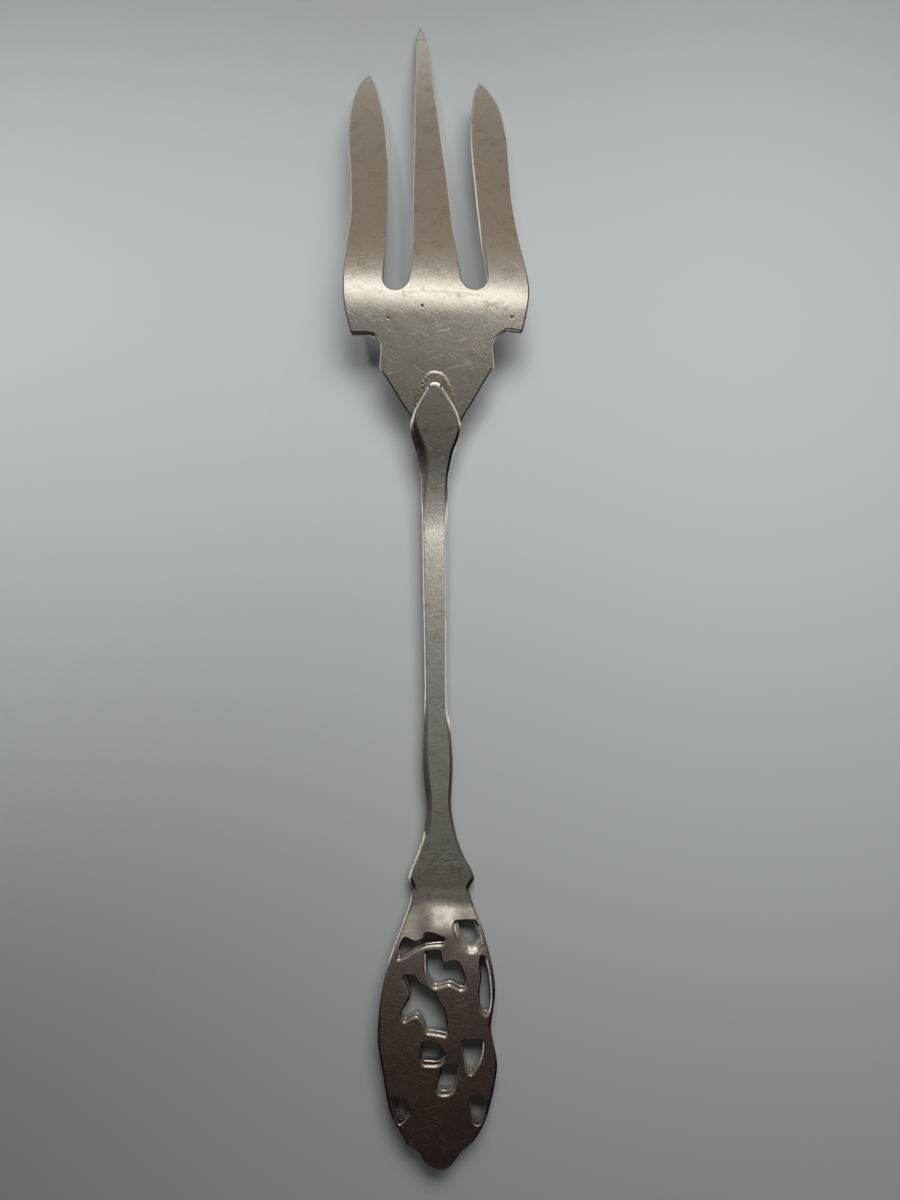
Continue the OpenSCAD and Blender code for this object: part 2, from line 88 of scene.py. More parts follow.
def evenLoop(points, gap, crisp=()):
    # closed loop with even gaps, its corners eased except at the crisp points
    ring = np.vstack([points, points[:1]])
    along = np.concatenate([[0], np.cumsum(np.linalg.norm(np.diff(ring, axis=0), axis=1))])
    at = np.linspace(0, along[-1], round(along[-1] / gap), endpoint=False)
    ring = np.stack([np.interp(at, along, ring[:, k]) for k in (0, 1)], 1)
    ease = np.ones((len(ring), 1))
    for corner in crisp:
        nearest = np.argmin(np.linalg.norm(ring - corner, axis=1))
        ring[nearest] = corner
        ease[nearest] = 0
    return eased(ring, 1, ease)


def turned(ring, outer):
    # outer loops run anticlockwise and holes clockwise, so metal is on the left
    x, y = ring[:, 0], ring[:, 1]
    area = np.sum(x * np.roll(y, -1) - np.roll(x, -1) * y)
    return ring if (area > 0) == outer else ring[::-1]


def insideLoops(points, loops):
    # which points lie inside the loops, worked out in batches to save memory
    batch = 2000
    a = np.vstack(loops)
    b = np.vstack([np.roll(ring, -1, 0) for ring in loops])
    rise = np.where(b[:, 1] == a[:, 1], 1.0, b[:, 1] - a[:, 1])
    inside = np.zeros(len(points), bool)
    for first in range(0, len(points), batch):
        x, y = points[first:first + batch].T[:, :, None]
        spans = (a[:, 1] > y) != (b[:, 1] > y)
        left = x < a[:, 0] + (y - a[:, 1]) * (b[:, 0] - a[:, 0]) / rise
        inside[first:first + batch] = (spans & left).sum(1) % 2 == 1
    return inside


def treeOf(points):
    tree = KDTree(len(points))
    for k, p in enumerate(points):
        tree.insert((p[0], p[1], 0), k)
    tree.balance()
    return tree


class Rim:
    # all edge points of a plate, with the way into the metal at each
    def __init__(self, loops):
        self.loops = loops
        self.points = np.vstack(loops)
        self.before = np.vstack([np.roll(ring, 1, 0) for ring in loops])
        self.after = np.vstack([np.roll(ring, -1, 0) for ring in loops])
        along = self.after - self.before
        along = along / np.linalg.norm(along, axis=1)[:, None]
        self.inward = np.stack([-along[:, 1], along[:, 0]], 1)
        self.loopOf = np.concatenate([np.full(len(ring), k) for k, ring in enumerate(loops)])
        self.tree = treeOf(self.points)

    def nearest(self, points):
        # distance to the edge, and the nearest edge point
        near = np.array([self.tree.find((p[0], p[1], 0))[1] for p in points], int)
        best = np.full(len(points), np.inf)
        for other in (self.before, self.after):
            start = self.points[near]
            line = other[near] - start
            t = ((points - start) * line).sum(1) / np.maximum((line * line).sum(1), 1e-12)
            foot = start + np.clip(t, 0, 1)[:, None] * line
            best = np.minimum(best, np.linalg.norm(points - foot, axis=1))
        return best, near


# Points of a plate: rings along its edge as shares of the edge's width, a ring
# past it, and the clear space between points, in millimetres at the rim and the
# ring past it and otherwise in shares of the ring's reach or the grid's pitch
plate = {
    "rings": (0.12, 0.35, 0.65, 0.93, 1.0), "pastEdge": 0.07, "ringClear": 0.95,
    "rowStep": 0.866, "gridClear": 0.4, "spotClear": 0.3, "rimClear": 0.04,
    # narrow ledge in the wall: share of its height, and of the taper taken up
    "wall": ((0.43, 0.08), (0.443, 0.9)), "taperReach": 0.35,
}


def edgeDrop(u, power=2.0):
    # share of the edge depth that is gone at share u of the edge width, where
    # a power of 1 makes a flat chamfer and 2 a hollow one
    return (1 - np.clip(u, 0, 1)) ** power


def platePlan(rim, width, pitch, extra=None):
    # triangles over the plan: edge points, rings that follow the edge, and a
    # grid inside them
    cloud = [rim.points]
    for reach in [width * share for share in plate["rings"]] + [width + plate["pastEdge"]]:
        ring = rim.points + rim.inward * reach[:, None]
        gap, _ = rim.nearest(ring)
        keep = (gap > plate["ringClear"] * reach) & insideLoops(ring, rim.loops)
        cloud.append(ring[keep])
    low, high = rim.points.min(0), rim.points.max(0)
    rows = np.arange(low[1], high[1], pitch * plate["rowStep"])
    grid = []
    for k, y in enumerate(rows):
        x = np.arange(low[0] + (pitch / 2 if k % 2 else 0), high[0], pitch)
        grid.append(np.stack([x, np.full(len(x), y)], 1))
    grid = np.vstack(grid)
    grid = grid[insideLoops(grid, rim.loops)]
    gap, near = rim.nearest(grid)
    grid = grid[gap > width[near] + plate["pastEdge"] + plate["gridClear"] * pitch]
    if extra is not None:
        extra = extra[insideLoops(extra, rim.loops)]
        gap, _ = rim.nearest(extra)
        extra = extra[gap > plate["rimClear"]]
        tree = treeOf(extra)
        clear = np.array([tree.find((p[0], p[1], 0))[2] > plate["spotClear"] * pitch for p in grid])
        grid = np.vstack([grid[clear], extra])
    cloud = np.vstack(cloud + [grid])
    lines, first = [], 0
    for ring in rim.loops:
        n = len(ring)
        lines += [(first + k, first + (k + 1) % n) for k in range(n)]
        first += n
    found = geometry.delaunay_2d_cdt([Vector(p) for p in cloud], lines, [], 0, 1e-5)
    points = np.array([tuple(p) for p in found[0]])
    triangles = np.array([face for face in found[2] if len(face) == 3])
    rimAt = np.full(len(rim.points), -1)
    for k, sources in enumerate(found[3]):
        for source in sources:
            if source < len(rimAt):
                rimAt[source] = k
    triangles = triangles[insideLoops(points[triangles].mean(1), rim.loops)]
    return points, triangles, rimAt, lines


def buildPlate(name, loops, pitch, topEdge, underEdge, place, thickness, relief, extra=None, taper=None):
    # closed plate: a back, a front and eased edges between them, where taper
    # brings the front in past the back
    rim = Rim(loops)
    width, depth, power = topEdge(rim)
    underSize = underEdge(rim)
    points, triangles, rimAt, lines = platePlan(rim, width, pitch, extra)
    n, m = len(points), len(rimAt)
    gap, near = rim.nearest(points)
    gap[rimAt] = 0
    near[rimAt] = np.arange(m)
    top = depth[near] * edgeDrop(gap / width[near], power[near]) + relief(points, gap)
    under = thickness(points, gap) - underSize[near] * edgeDrop(gap / underSize[near])
    shift = np.zeros((n, 2))
    if taper is not None:
        shift = -rim.inward[near] * (taper(rim)[near] * np.exp(-gap / plate["taperReach"]))[:, None]
    spots = [place(points, top), place(points, under)]
    spots[1][:, :2] += shift
    for share, moved in plate["wall"]:
        wall = place(points[rimAt], top[rimAt] * (1 - share) + under[rimAt] * share)
        wall[:, :2] += shift[rimAt] * moved
        spots.append(wall)
    spots = np.vstack(spots)
    # rows of point numbers down the wall
    rows = [rimAt, *(2 * n + k * m + np.arange(m) for k in range(len(plate["wall"]))), n + rimAt]
    faces = [tuple(t) for t in triangles] + [tuple(t[::-1] + n) for t in triangles]
    for a, b in lines:
        faces += [(high[a], low[a], low[b], high[b]) for high, low in zip(rows, rows[1:])]
    crisp = {tuple(sorted((int(row[a]), int(row[b])))) for a, b in lines for row in rows}
    edgeGap = np.concatenate([gap, gap, np.zeros(len(spots) - 2 * n)])
    return makeObject(name, spots, faces, edgeGap, crisp)


def newObject(name, data):
    made = bpy.data.objects.new(name, data)
    bpy.context.scene.collection.objects.link(made)
    return made


def makeObject(name, spots, faces, edgeGap, crisp):
    mesh = bpy.data.meshes.new(name)
    mesh.from_pydata([tuple(p) for p in spots * millimetre], [], [tuple(int(k) for k in f) for f in faces])
    mesh.validate()
    note = mesh.attributes.new("edgeGap", "FLOAT", "POINT")
    note.data.foreach_set("value", edgeGap.astype(np.float32))
    work = bmesh.new()
    work.from_mesh(mesh)
    bmesh.ops.recalc_face_normals(work, faces=work.faces)
    for face in work.faces:
        face.smooth = True
    for edge in work.edges:
        if tuple(sorted((edge.verts[0].index, edge.verts[1].index))) in crisp:
            edge.smooth = False
    work.to_mesh(mesh)
    work.free()
    print(name, len(mesh.vertices), "points", len(mesh.polygons), "faces")
    return newObject(name, mesh)


def ripple(points, depth, size, seed):
    # slow waves left by the hammer and the file, from 0 to about twice depth
    x, y = points.T
    turn = np.random.default_rng(seed)
    total = np.zeros(len(x))
    for _ in range(9):
        angle, phase = turn.uniform(0, math.tau, 2)
        wave = size * turn.uniform(0.7, 1.6)
        total += np.sin((x * math.cos(angle) + y * math.sin(angle)) * math.tau / wave + phase)
    return depth * (1 + total / 5)


def dent(points, x, y, radius, depth):
    dx, dy = points[:, 0] - x, points[:, 1] - y
    return depth * np.exp(-(dx * dx + dy * dy) / (radius * radius))


def groove(points, line, width, depth):
    # fine groove along a line of places
    gap = np.full(len(points), np.inf)
    for a, b in zip(np.array(line[:-1]), np.array(line[1:])):
        t = np.clip(((points - a) @ (b - a)) / ((b - a) @ (b - a)), 0, 1)
        gap = np.minimum(gap, np.linalg.norm(points - a - t[:, None] * (b - a), axis=1))
    return depth * (1 - smoothStep(gap / width))


def grooveSpots(line, width):
    # close rows of points over a groove
    spots = []
    for a, b in zip(np.array(line[:-1]), np.array(line[1:])):
        length = np.linalg.norm(b - a)
        across = np.array([a[1] - b[1], b[0] - a[0]]) / length
        for t in np.arange(0, 1, 0.1 / length):
            spots += [a + (b - a) * t + across * width * off for off in (-1.0, -0.5, 0.0, 0.5, 1.0)]
    return np.array(spots)


def smoothStep(u):
    u = np.clip(u, 0, 1)
    return u * u * (3 - 2 * u)


def alongY(table, y):
    # value of a table of (y, value) rows at y
    return np.interp(y, *np.transpose(sorted(table)))


def within(values, low, high):
    return (values > low) & (values < high)


def slopeOf(name):
    # sine, cosine and tangent of a named slope
    angle = math.radians(bend[name])
    return math.sin(angle), math.cos(angle), math.tan(angle)


rootSine, rootCosine, _ = slopeOf("tineRootSlope")
tipSine, tipCosine, _ = slopeOf("tineTipSlope")
neckSine, neckCosine, neckRise = slopeOf("neckSlope")
stemSine, stemCosine, stemRise = slopeOf("stemSlope")
crestRadius = bend["crestRadius"]
crestY = rootY + bend["crestOffset"]
crestEndY = crestY + crestRadius * rootSine
tineRadius = (tipY - crestEndY) / (tipSine - rootSine)
crestZ = (crestRadius * (1 - rootCosine) + tineRadius * (rootCosine - tipCosine)
          + bend["tipThick"] * tipCosine)
neckTopY = crestY - crestRadius * neckSine
neckTopZ = crestZ - crestRadius * (1 - neckCosine)
sheetEndZ = neckTopZ - (neckTopY - sheetEndY) * neckRise


def sheetLine(y):
    # height of the sheet's back, and its lean towards the tine tips in radians
    crestSine = (y - crestY) / crestRadius
    tineSine = rootSine + (y - crestEndY) / tineRadius
    lean = np.arcsin(np.clip(np.where(y > crestEndY, tineSine, crestSine), -1, 1))
    lean = np.where(y < neckTopY, -math.radians(bend["neckSlope"]), lean)
    tineZ = crestZ - crestRadius * (1 - rootCosine) - tineRadius * (rootCosine - np.cos(lean))
    z = np.where(y > crestEndY, tineZ,
                 np.where(y > neckTopY, crestZ - crestRadius * (1 - np.cos(lean)),
                          neckTopZ - (neckTopY - y) * neckRise))
    return z, lean


def onSheet(points, depth):
    z, lean = sheetLine(points[:, 1])
    return np.stack([points[:, 0], points[:, 1] - depth * np.sin(lean), z - depth * np.cos(lean)], 1)


lapRise = (bend["stemThick"] - bend["sheetThick"]) / neckCosine
footRadius = bend["footLength"] / (neckSine - stemSine)
footTopY = sheetEndY - bend["footStart"]
footTopZ = sheetEndZ + lapRise - bend["footStart"] * neckRise
footY = footTopY - bend["footLength"]
footZ = footTopZ - footRadius * (stemCosine - neckCosine)


def barLine(y):
    # height of the bar's back, and its lean in radians
    lean = np.arcsin(np.clip(stemSine + (y - footY) / footRadius, stemSine, neckSine))
    z = np.where(y >= footTopY, footTopZ + (y - footTopY) * neckRise,
                 np.where(y > footY, footZ + footRadius * (stemCosine - np.cos(lean)),
                          footZ - (footY - y) * stemRise))
    return z, -lean


forkHead = {
    "leftLength": 35.4, "centreLength": 46.5, "rightLength": 33.2,
    "leftLean": -0.6, "centreLean": -2.65, "rightLean": -3.3,
    "sideWidth": 4.9, "centreWidth": 5.3, "headWidth": 22.5,
    "leftShoulder": 4.8, "rightShoulder": 5.1, "cornerInset": 0.9,
    "coveRadius": 1.75, "coveFloor": 13.5, "spurWidth": 13.9, "spurLength": 8.9, "endWidth": 3.8,
    "gap": 0.15, "pitch": 0.3, "leftSlotShort": 0.2,
    # left tine fuller near its root: how much, from what y and over what length
    "fuller": (0.14, 27.0, 20.0),
    # arch of the right shoulder: height, middle and half width
    "arch": (0.42, 8.93, 1.3),
    # edges: width, depth over width and power, see edgeDrop
    "edgeWidth": 0.16, "edgeSlope": 0.45, "edgePower": 1.4, "frontEdge": 0.12,
    # inner edge of the right tine: from what x and y, slope, and (y, width)
    "innerFrom": (3.5, 26.5), "innerSlope": 0.62,
    "innerWidth": [(26, 0.2), (30, 0.32), (44, 0.3), (56, 0.2)],
    # points of the tines: (x, y, reach), edge width and extra depth past a y
    "ground": ((-2.65, 72.0, 3.2), (-10.0, 60.9, 1.6), (5.5, 58.7, 1.6)),
    "groundWidth": 0.5, "groundDepth": 0.1, "groundFrom": 56,
    # burr on the arched shoulder, and the rubbed waists of the neck
    "burrX": (8.3, 10.1), "burrY": (19, 21.5), "burrSlope": 1.1,
    "waistY": (16.3, 20.5), "waistWidth": 0.15, "waistDepth": 0.13,
    # slant of the shoulders' cut: rows, then (how much, from what x) and fade
    "slantY": (19, 23), "leftSlant": (0.28, 5.2), "rightSlant": (0.1, 7.2), "slantFade": 0.8,
    # waves: depth, size and seed, and the crease's width and depth
    "wave": (0.006, 7.0, 3), "crease": (0.12, 0.007), "thinned": 0.01,
}

leftTine = [
    [0.045, 0, 1], [0.11, -0.15, 0.99], [0.19, -0.47, 0.955], [0.3, -0.76, 0.9],
    [0.44, -0.62, 0.935], [0.54, -0.3, 0.97], [0.64, 0.17, 0.99], [0.74, 0.55, 0.925],
    [0.84, 0.88, 0.745], [0.9, 0.98, 0.58], [0.955, 1.02, 0.34], [0.985, 0.93, 0.14], [1, 0.88, 0.03]]
centreTine = [
    [0.04, 0.03, 1.17], [0.08, 0.02, 1.07], [0.135, 0.08, 0.96], [0.2, 0.165, 0.89],
    [0.33, 0.28, 0.79], [0.47, 0.42, 0.66], [0.63, 0.585, 0.52], [0.8, 0.775, 0.37],
    [0.9, 0.885, 0.285], [0.95, 0.955, 0.165], [0.985, 0.99, 0.07], [1, 1, 0.02]]
rightTine = [
    [0.045, 0.06, 0.98], [0.11, 0.175, 0.955], [0.185, 0.31, 0.935], [0.275, 0.415, 0.905],
    [0.365, 0.505, 0.89], [0.46, 0.56, 0.905], [0.56, 0.615, 0.935], [0.66, 0.66, 0.945],
    [0.765, 0.72, 0.85], [0.82, 0.76, 0.75], [0.88, 0.83, 0.6], [0.94, 0.92, 0.36],
    [0.975, 0.975, 0.15], [1, 1, 0.03]]
# Crease along the crest, and small pits in the back: (x, y, radius, depth)
crestLine = [(-3.4, 25.15), (-1.1, 25.4), (1.2, 25.25), (3.9, 24.85), (6.0, 24.6)]
headPits = [(-1.67, 23.6, 0.1, 0.1), (-5.8, 22.27, 0.08, 0.14), (9.1, 22.06, 0.1, 0.08),
            (-7.9, 31.2, 0.08, 0.03)]
flank = [[0, 0], [0.1, 0.16], [0.23, 0.34], [0.5, 0.57], [0.76, 0.8], [0.9, 0.92], [1, 1]]
shoulder = [[1, 0], [0.5, 0.34], [0.12, 0.72], [0.02, 0.98]]
sideX = (forkHead["headWidth"] - forkHead["sideWidth"]) / 2
# Tines: outline, place of the root, length, lean and width
tines = [
    (leftTine, -sideX, forkHead["leftLength"], forkHead["leftLean"], forkHead["sideWidth"]),
    (centreTine, 0, forkHead["centreLength"], forkHead["centreLean"], forkHead["centreWidth"]),
    (rightTine, sideX, forkHead["rightLength"], forkHead["rightLean"], forkHead["sideWidth"])]


def tineSides(table, rootX, length, lean, width):
    rows = smoothCurve(table, 6)
    middle = rootX + lean * rows[:, 1]
    y = rootY + length * rows[:, 0]
    half = width * rows[:, 2] / 2
    return np.stack([middle - half, y], 1), np.stack([middle + half, y], 1)[::-1]


def slotRoot(a, b, endY):
    # round root of the slot between two tine edges
    middle = (a + b) / 2
    turn = np.linspace(0, math.pi, 19)[1:-1]
    return np.stack([middle[0] - (b[0] - a[0]) * np.cos(turn) / 2,
                     middle[1] - (b[1] - a[1]) * np.cos(turn) / 2 - (middle[1] - endY) * np.sin(turn)], 1)


def headSide(shoulderLength):
    # right side of the head from the sheet's end up to the start of the tine
    f = forkHead
    spurY = rootY - f["spurLength"]
    cornerY = rootY - shoulderLength
    side = [[(f["endWidth"] + (f["spurWidth"] - f["endWidth"]) * s[0]) / 2,
             sheetEndY + (spurY - sheetEndY) * s[1]] for s in smoothCurve(flank, 6)]
    for turn in np.radians(np.linspace(180, 90, 13)):
        side.append([f["coveFloor"] / 2 + f["coveRadius"] * (1 + math.cos(turn)),
                     cornerY + f["coveRadius"] * neckCosine * (math.sin(turn) - 1)])
    for s in smoothCurve(shoulder, 6):
        side.append([f["headWidth"] / 2 - f["cornerInset"] * s[0],
                     rootY - shoulderLength * (1 - s[1])])
    return np.array(side)


def headOutline():
    f = forkHead
    left, centre, right = [tineSides(*tine) for tine in tines]
    more, fromY, length = f["fuller"]
    left[1][:, 0] += more * np.sin(np.clip((left[1][:, 1] - fromY) / length, 0, 1) * math.pi) ** 0.6
    # the right shoulder is arched and its corner hangs down
    rightSide = headSide(f["rightShoulder"])
    height, middle, half = f["arch"]
    arched = rightSide[:, 1] < rootY - f["rightShoulder"] + 0.01
    rise = np.cos(np.clip((rightSide[:, 0] - middle) / half, -1, 1) * math.pi / 2) ** 2
    rightSide[:, 1] += np.where(arched, height * rise, 0)
    return np.vstack([
        flipped(headSide(f["leftShoulder"])),
        *left, slotRoot(left[1][-1], centre[0][0], rootY + f["leftSlotShort"]),
        *centre, slotRoot(centre[1][-1], right[0][0], rootY),
        *right, rightSide[::-1]])


def headEdge(rim):
    # edges are broken with a file, wider along the inner edge of the right tine
    f = forkHead
    x, y = rim.points.T
    inwardX, inwardY = rim.inward.T
    inner = (x > f["innerFrom"][0]) & (y > f["innerFrom"][1]) & (inwardX > 0.6)
    width = np.where(inner, alongY(f["innerWidth"], y), f["edgeWidth"])
    # the points of the tines are ground from both sides
    for endX, endY, reach in f["ground"]:
        ground = smoothStep((reach - np.hypot(x - endX, y - endY)) / reach)
        width = width + (f["groundWidth"] - width) * ground
    width = eased(width, 20)
    depth = (width * np.where(inner, f["innerSlope"], f["edgeSlope"])
             + f["groundDepth"] * smoothStep((width - 0.3) / 0.2) * (y > f["groundFrom"]))
    burr = within(x, *f["burrX"]) & within(y, *f["burrY"]) & (inwardY > 0.6)
    depth = np.where(burr, width * f["burrSlope"], depth)
    waist = within(y, *f["waistY"]) & (np.abs(inwardX) > 0.5)
    width = np.where(waist, f["waistWidth"], width)
    depth = np.where(waist, f["waistDepth"], depth)
    return width, depth, np.full(len(x), f["edgePower"])


def headTaper(rim):
    # the shoulders were sheared at a slant
    f = forkHead
    x, y = rim.points.T
    low = smoothStep((rim.inward[:, 1] - 0.5) / 0.4) * within(y, *f["slantY"])
    sides = [most * smoothStep((away - fromX) / f["slantFade"])
             for away, (most, fromX) in ((-x, f["leftSlant"]), (x, f["rightSlant"]))]
    return low * sum(sides)


def headUnderEdge(rim):
    return np.full(len(rim.points), forkHead["frontEdge"])


def headThickness(points, gap):
    share = np.clip((tipY - points[:, 1]) / (tipY - crestEndY), 0, 1)
    thick = bend["tipThick"] + (bend["sheetThick"] - bend["tipThick"]) * share
    return thick - forkHead["thinned"]


def headRelief(points, gap):
    depth = ripple(points, *forkHead["wave"]) + skin
    for pit in headPits:
        depth += dent(points, *pit)
    return depth + groove(points, crestLine, *forkHead["crease"])


def makeForkHead():
    f = forkHead
    tips = [(rootX + lean * table[-1][1], rootY + length * table[-1][0])
            for table, rootX, length, lean, _ in tines]
    outline = turned(evenLoop(headOutline(), f["gap"], tips), True)
    # each pit has a finer grid of its own
    patch = np.arange(-0.4, 0.41, 0.08)
    fine = [np.array([[x, y] for x in patch for y in patch]) + pit[:2] for pit in headPits]
    fine.append(grooveSpots(crestLine, f["crease"][0]))
    return buildPlate("forkHead", [outline], f["pitch"], headEdge, headUnderEdge, onSheet,
                      headThickness, headRelief, np.vstack(fine), headTaper)


handle = {
    "lapLength": 7.0, "tongueWidth": 6.1, "noseLength": 4.9, "heelLength": 6.4,
    "stemWidth": 3.2, "stemLowWidth": 2.75, "swellWidth": 3.4, "waistWidth": 2.8,
    "flareLength": 8.5, "swellLength": 4.1, "collarWidth": 7.5, "stemShift": -0.4,
    "finialLength": 28.0, "finialWidth": 12.7, "finialThick": 3.15,
    "gap": 0.13, "holeGap": 0.0975, "pitch": 0.27,
    # left side of the flare fuller: how much, from what y and over what length
    "fuller": (0.2, -38.4, 4.2),
    # the collar's points are rubbed round: reach, fade and rounds
    "collarRub": (1.3, 0.5, 8),
    # nose of the tongue, filed flatter ahead of a y: edge width and slope
    "noseFrom": 12.6, "noseEdge": (0.36, 0.165), "holePower": 1.15,
    # front: edges of bar and finial and where they meet, and the sunk ground
    "barFront": 0.25, "finialFront": 0.3, "frontMeets": -42.0, "frontBlend": 0.1,
    "groundDepth": 0.9, "rimWidth": 0.72, "groundFade": 0.35, "groundStart": (0.2, 0.03),
    # raised lip above the second piercing
    "lipX": 3.1, "lipHalf": 1.9, "lipY": (-50.6, -47.5), "lipFade": 0.5, "lipHeight": 0.05, "lipReach": 0.45,
    # waves: depth, size and seed, and the scratches' width and depth
    "wave": (0.005, 6.0, 5), "scratch": (0.06, 0.006),
}

nose = [[0, 0.06], [0.012, 0.13], [0.05, 0.235], [0.12, 0.33], [0.265, 0.49],
        [0.43, 0.655], [0.63, 0.83], [0.84, 0.95], [1, 1]]
stem = [[s, s] for s in (0.125, 0.25, 0.5, 1)]
heel = [[0.15, 0.93], [0.31, 0.72], [0.45, 0.46], [0.61, 0.28], [0.78, 0.14], [1, 0]]
flare = [[0.24, 0.06], [0.44, 0.19], [0.56, 0.31], [0.69, 0.47], [0.8, 0.68], [0.89, 0.86], [1, 1]]
finialLeft = [
    [-0.44, 0], [-0.53, 0.065], [-0.65, 0.14], [-0.765, 0.21], [-0.87, 0.285],
    [-0.95, 0.357], [-1, 0.43], [-1.025, 0.51], [-1.02, 0.57], [-0.975, 0.63],
    [-0.92, 0.69], [-0.865, 0.755], [-0.79, 0.815], [-0.66, 0.865], [-0.56, 0.9], [-0.52, 0.918]]
finialTip = [
    [-0.4, 0.93], [-0.3, 0.948], [-0.22, 0.975], [-0.09, 0.994], [0.05, 1],
    [0.17, 0.992], [0.27, 0.968], [0.36, 0.942], [0.45, 0.926]]
finialRight = [
    [0.57, 0.905], [0.68, 0.872], [0.8, 0.82], [0.89, 0.755], [0.955, 0.69],
    [0.985, 0.64], [0.955, 0.59], [0.905, 0.54], [0.885, 0.505], [0.92, 0.455],
    [0.96, 0.4], [0.965, 0.35], [0.925, 0.287], [0.84, 0.21], [0.74, 0.137], [0.61, 0.065], [0.52, 0]]
piercings = [
    [[-0.58, 0.183], [-0.47, 0.193], [-0.38, 0.197], [-0.29, 0.188], [-0.24, 0.168],
     [-0.12, 0.165], [0.02, 0.176], [0.125, 0.188], [0.08, 0.207], [-0.06, 0.209],
     [-0.24, 0.215], [-0.4, 0.23], [-0.52, 0.248], [-0.68, 0.262], [-0.71, 0.252], [-0.66, 0.208]],
    [[0.3, 0.126], [0.42, 0.119], [0.56, 0.12], [0.65, 0.13], [0.7, 0.162],
     [0.715, 0.197], [0.66, 0.217], [0.54, 0.221], [0.44, 0.209], [0.36, 0.186], [0.3, 0.152]],
    [[-0.22, 0.237], [-0.1, 0.231], [0.03, 0.233], [0.055, 0.262], [0.1, 0.277],
     [0.24, 0.27], [0.34, 0.272], [0.41, 0.297], [0.45, 0.33], [0.485, 0.36],
     [0.4, 0.371], [0.3, 0.362], [0.19, 0.352], [0.05, 0.36], [-0.07, 0.362],
     [-0.15, 0.34], [-0.21, 0.315], [-0.215, 0.275]],
    [[-0.6, 0.325], [-0.42, 0.323], [-0.34, 0.347], [-0.21, 0.365], [-0.08, 0.381],
     [-0.03, 0.4], [0.03, 0.42], [0.11, 0.45], [0.145, 0.5], [0.145, 0.537],
     [0.04, 0.535], [-0.12, 0.53], [-0.21, 0.525], [-0.27, 0.49], [-0.36, 0.468],
     [-0.47, 0.475], [-0.58, 0.488], [-0.63, 0.462], [-0.57, 0.43], [-0.5, 0.4], [-0.54, 0.362]],
    [[0.72, 0.252], [0.79, 0.254], [0.84, 0.29], [0.87, 0.34], [0.885, 0.39],
     [0.875, 0.43], [0.83, 0.458], [0.75, 0.455], [0.7, 0.43], [0.685, 0.385],
     [0.72, 0.335], [0.7, 0.29]],
    [[-0.27, 0.566], [-0.15, 0.557], [-0.03, 0.567], [0.06, 0.588], [0.11, 0.605],
     [0.07, 0.63], [-0.02, 0.64], [-0.15, 0.64], [-0.27, 0.636], [-0.3, 0.61]],
    [[0.4, 0.556], [0.57, 0.552], [0.73, 0.552], [0.75, 0.58], [0.71, 0.62],
     [0.63, 0.65], [0.535, 0.672], [0.46, 0.65], [0.42, 0.61], [0.39, 0.575]],
    [[0.06, 0.647], [0.19, 0.643], [0.31, 0.641], [0.335, 0.665], [0.3, 0.7],
     [0.25, 0.73], [0.16, 0.742], [0.04, 0.742], [-0.03, 0.73], [0.0, 0.7], [0.04, 0.672]],
    [[-0.78, 0.755], [-0.68, 0.754], [-0.59, 0.765], [-0.51, 0.785], [-0.48, 0.805],
     [-0.53, 0.825], [-0.64, 0.846], [-0.69, 0.832], [-0.74, 0.8], [-0.77, 0.775]],
    [[0.52, 0.754], [0.66, 0.751], [0.76, 0.753], [0.79, 0.77], [0.77, 0.8],
     [0.73, 0.83], [0.66, 0.846], [0.58, 0.838], [0.54, 0.81], [0.52, 0.78]],
]

# Eased edge by place: (y, width, depth over width, power), see edgeDrop
leftEdge = [
    (14.4, 0.34, 0.82, 1.2), (10.9, 0.36, 0.82, 1.3), (9.8, 0.9, 0.46, 1.7), (8.2, 1.3, 0.36, 1.7),
    (6.2, 1.3, 0.38, 1.7), (4.4, 1.15, 0.4, 1.7), (2.8, 0.8, 0.42, 1.7), (0.8, 0.45, 0.5, 1.6),
    (-1.2, 0.24, 0.8, 1.3),
    (-22.0, 0.24, 0.8, 1.3), (-26.0, 0.45, 0.42, 1.3), (-30.0, 0.64, 0.35, 1.3), (-33.0, 0.7, 0.34, 1.3),
    (-37.4, 0.66, 0.36, 1.3), (-38.8, 0.62, 0.62, 1.9), (-42.3, 0.66, 0.62, 1.9), (-43.5, 0.4, 0.4, 1.5),
    (-44.4, 0.28, 0.36, 1.5), (-45.5, 0.44, 0.6, 2.0), (-50.5, 0.4, 0.6, 2.0), (-53.0, 0.26, 0.36, 1.4),
    (-72.0, 0.24, 0.34, 1.4)]
rightEdge = [
    (14.4, 0.34, 0.82, 1.2), (9.9, 0.36, 0.82, 1.3), (8.6, 0.3, 0.42, 1.2), (3.0, 0.3, 0.4, 1.2),
    (-2.5, 0.42, 1.15, 1.1), (-24.0, 0.42, 1.1, 1.1), (-28.0, 0.32, 0.42, 1.2), (-42.0, 0.36, 0.42, 1.2),
    (-43.2, 0.42, 0.4, 1.5), (-46.0, 0.3, 0.4, 1.4), (-72.0, 0.24, 0.34, 1.4)]
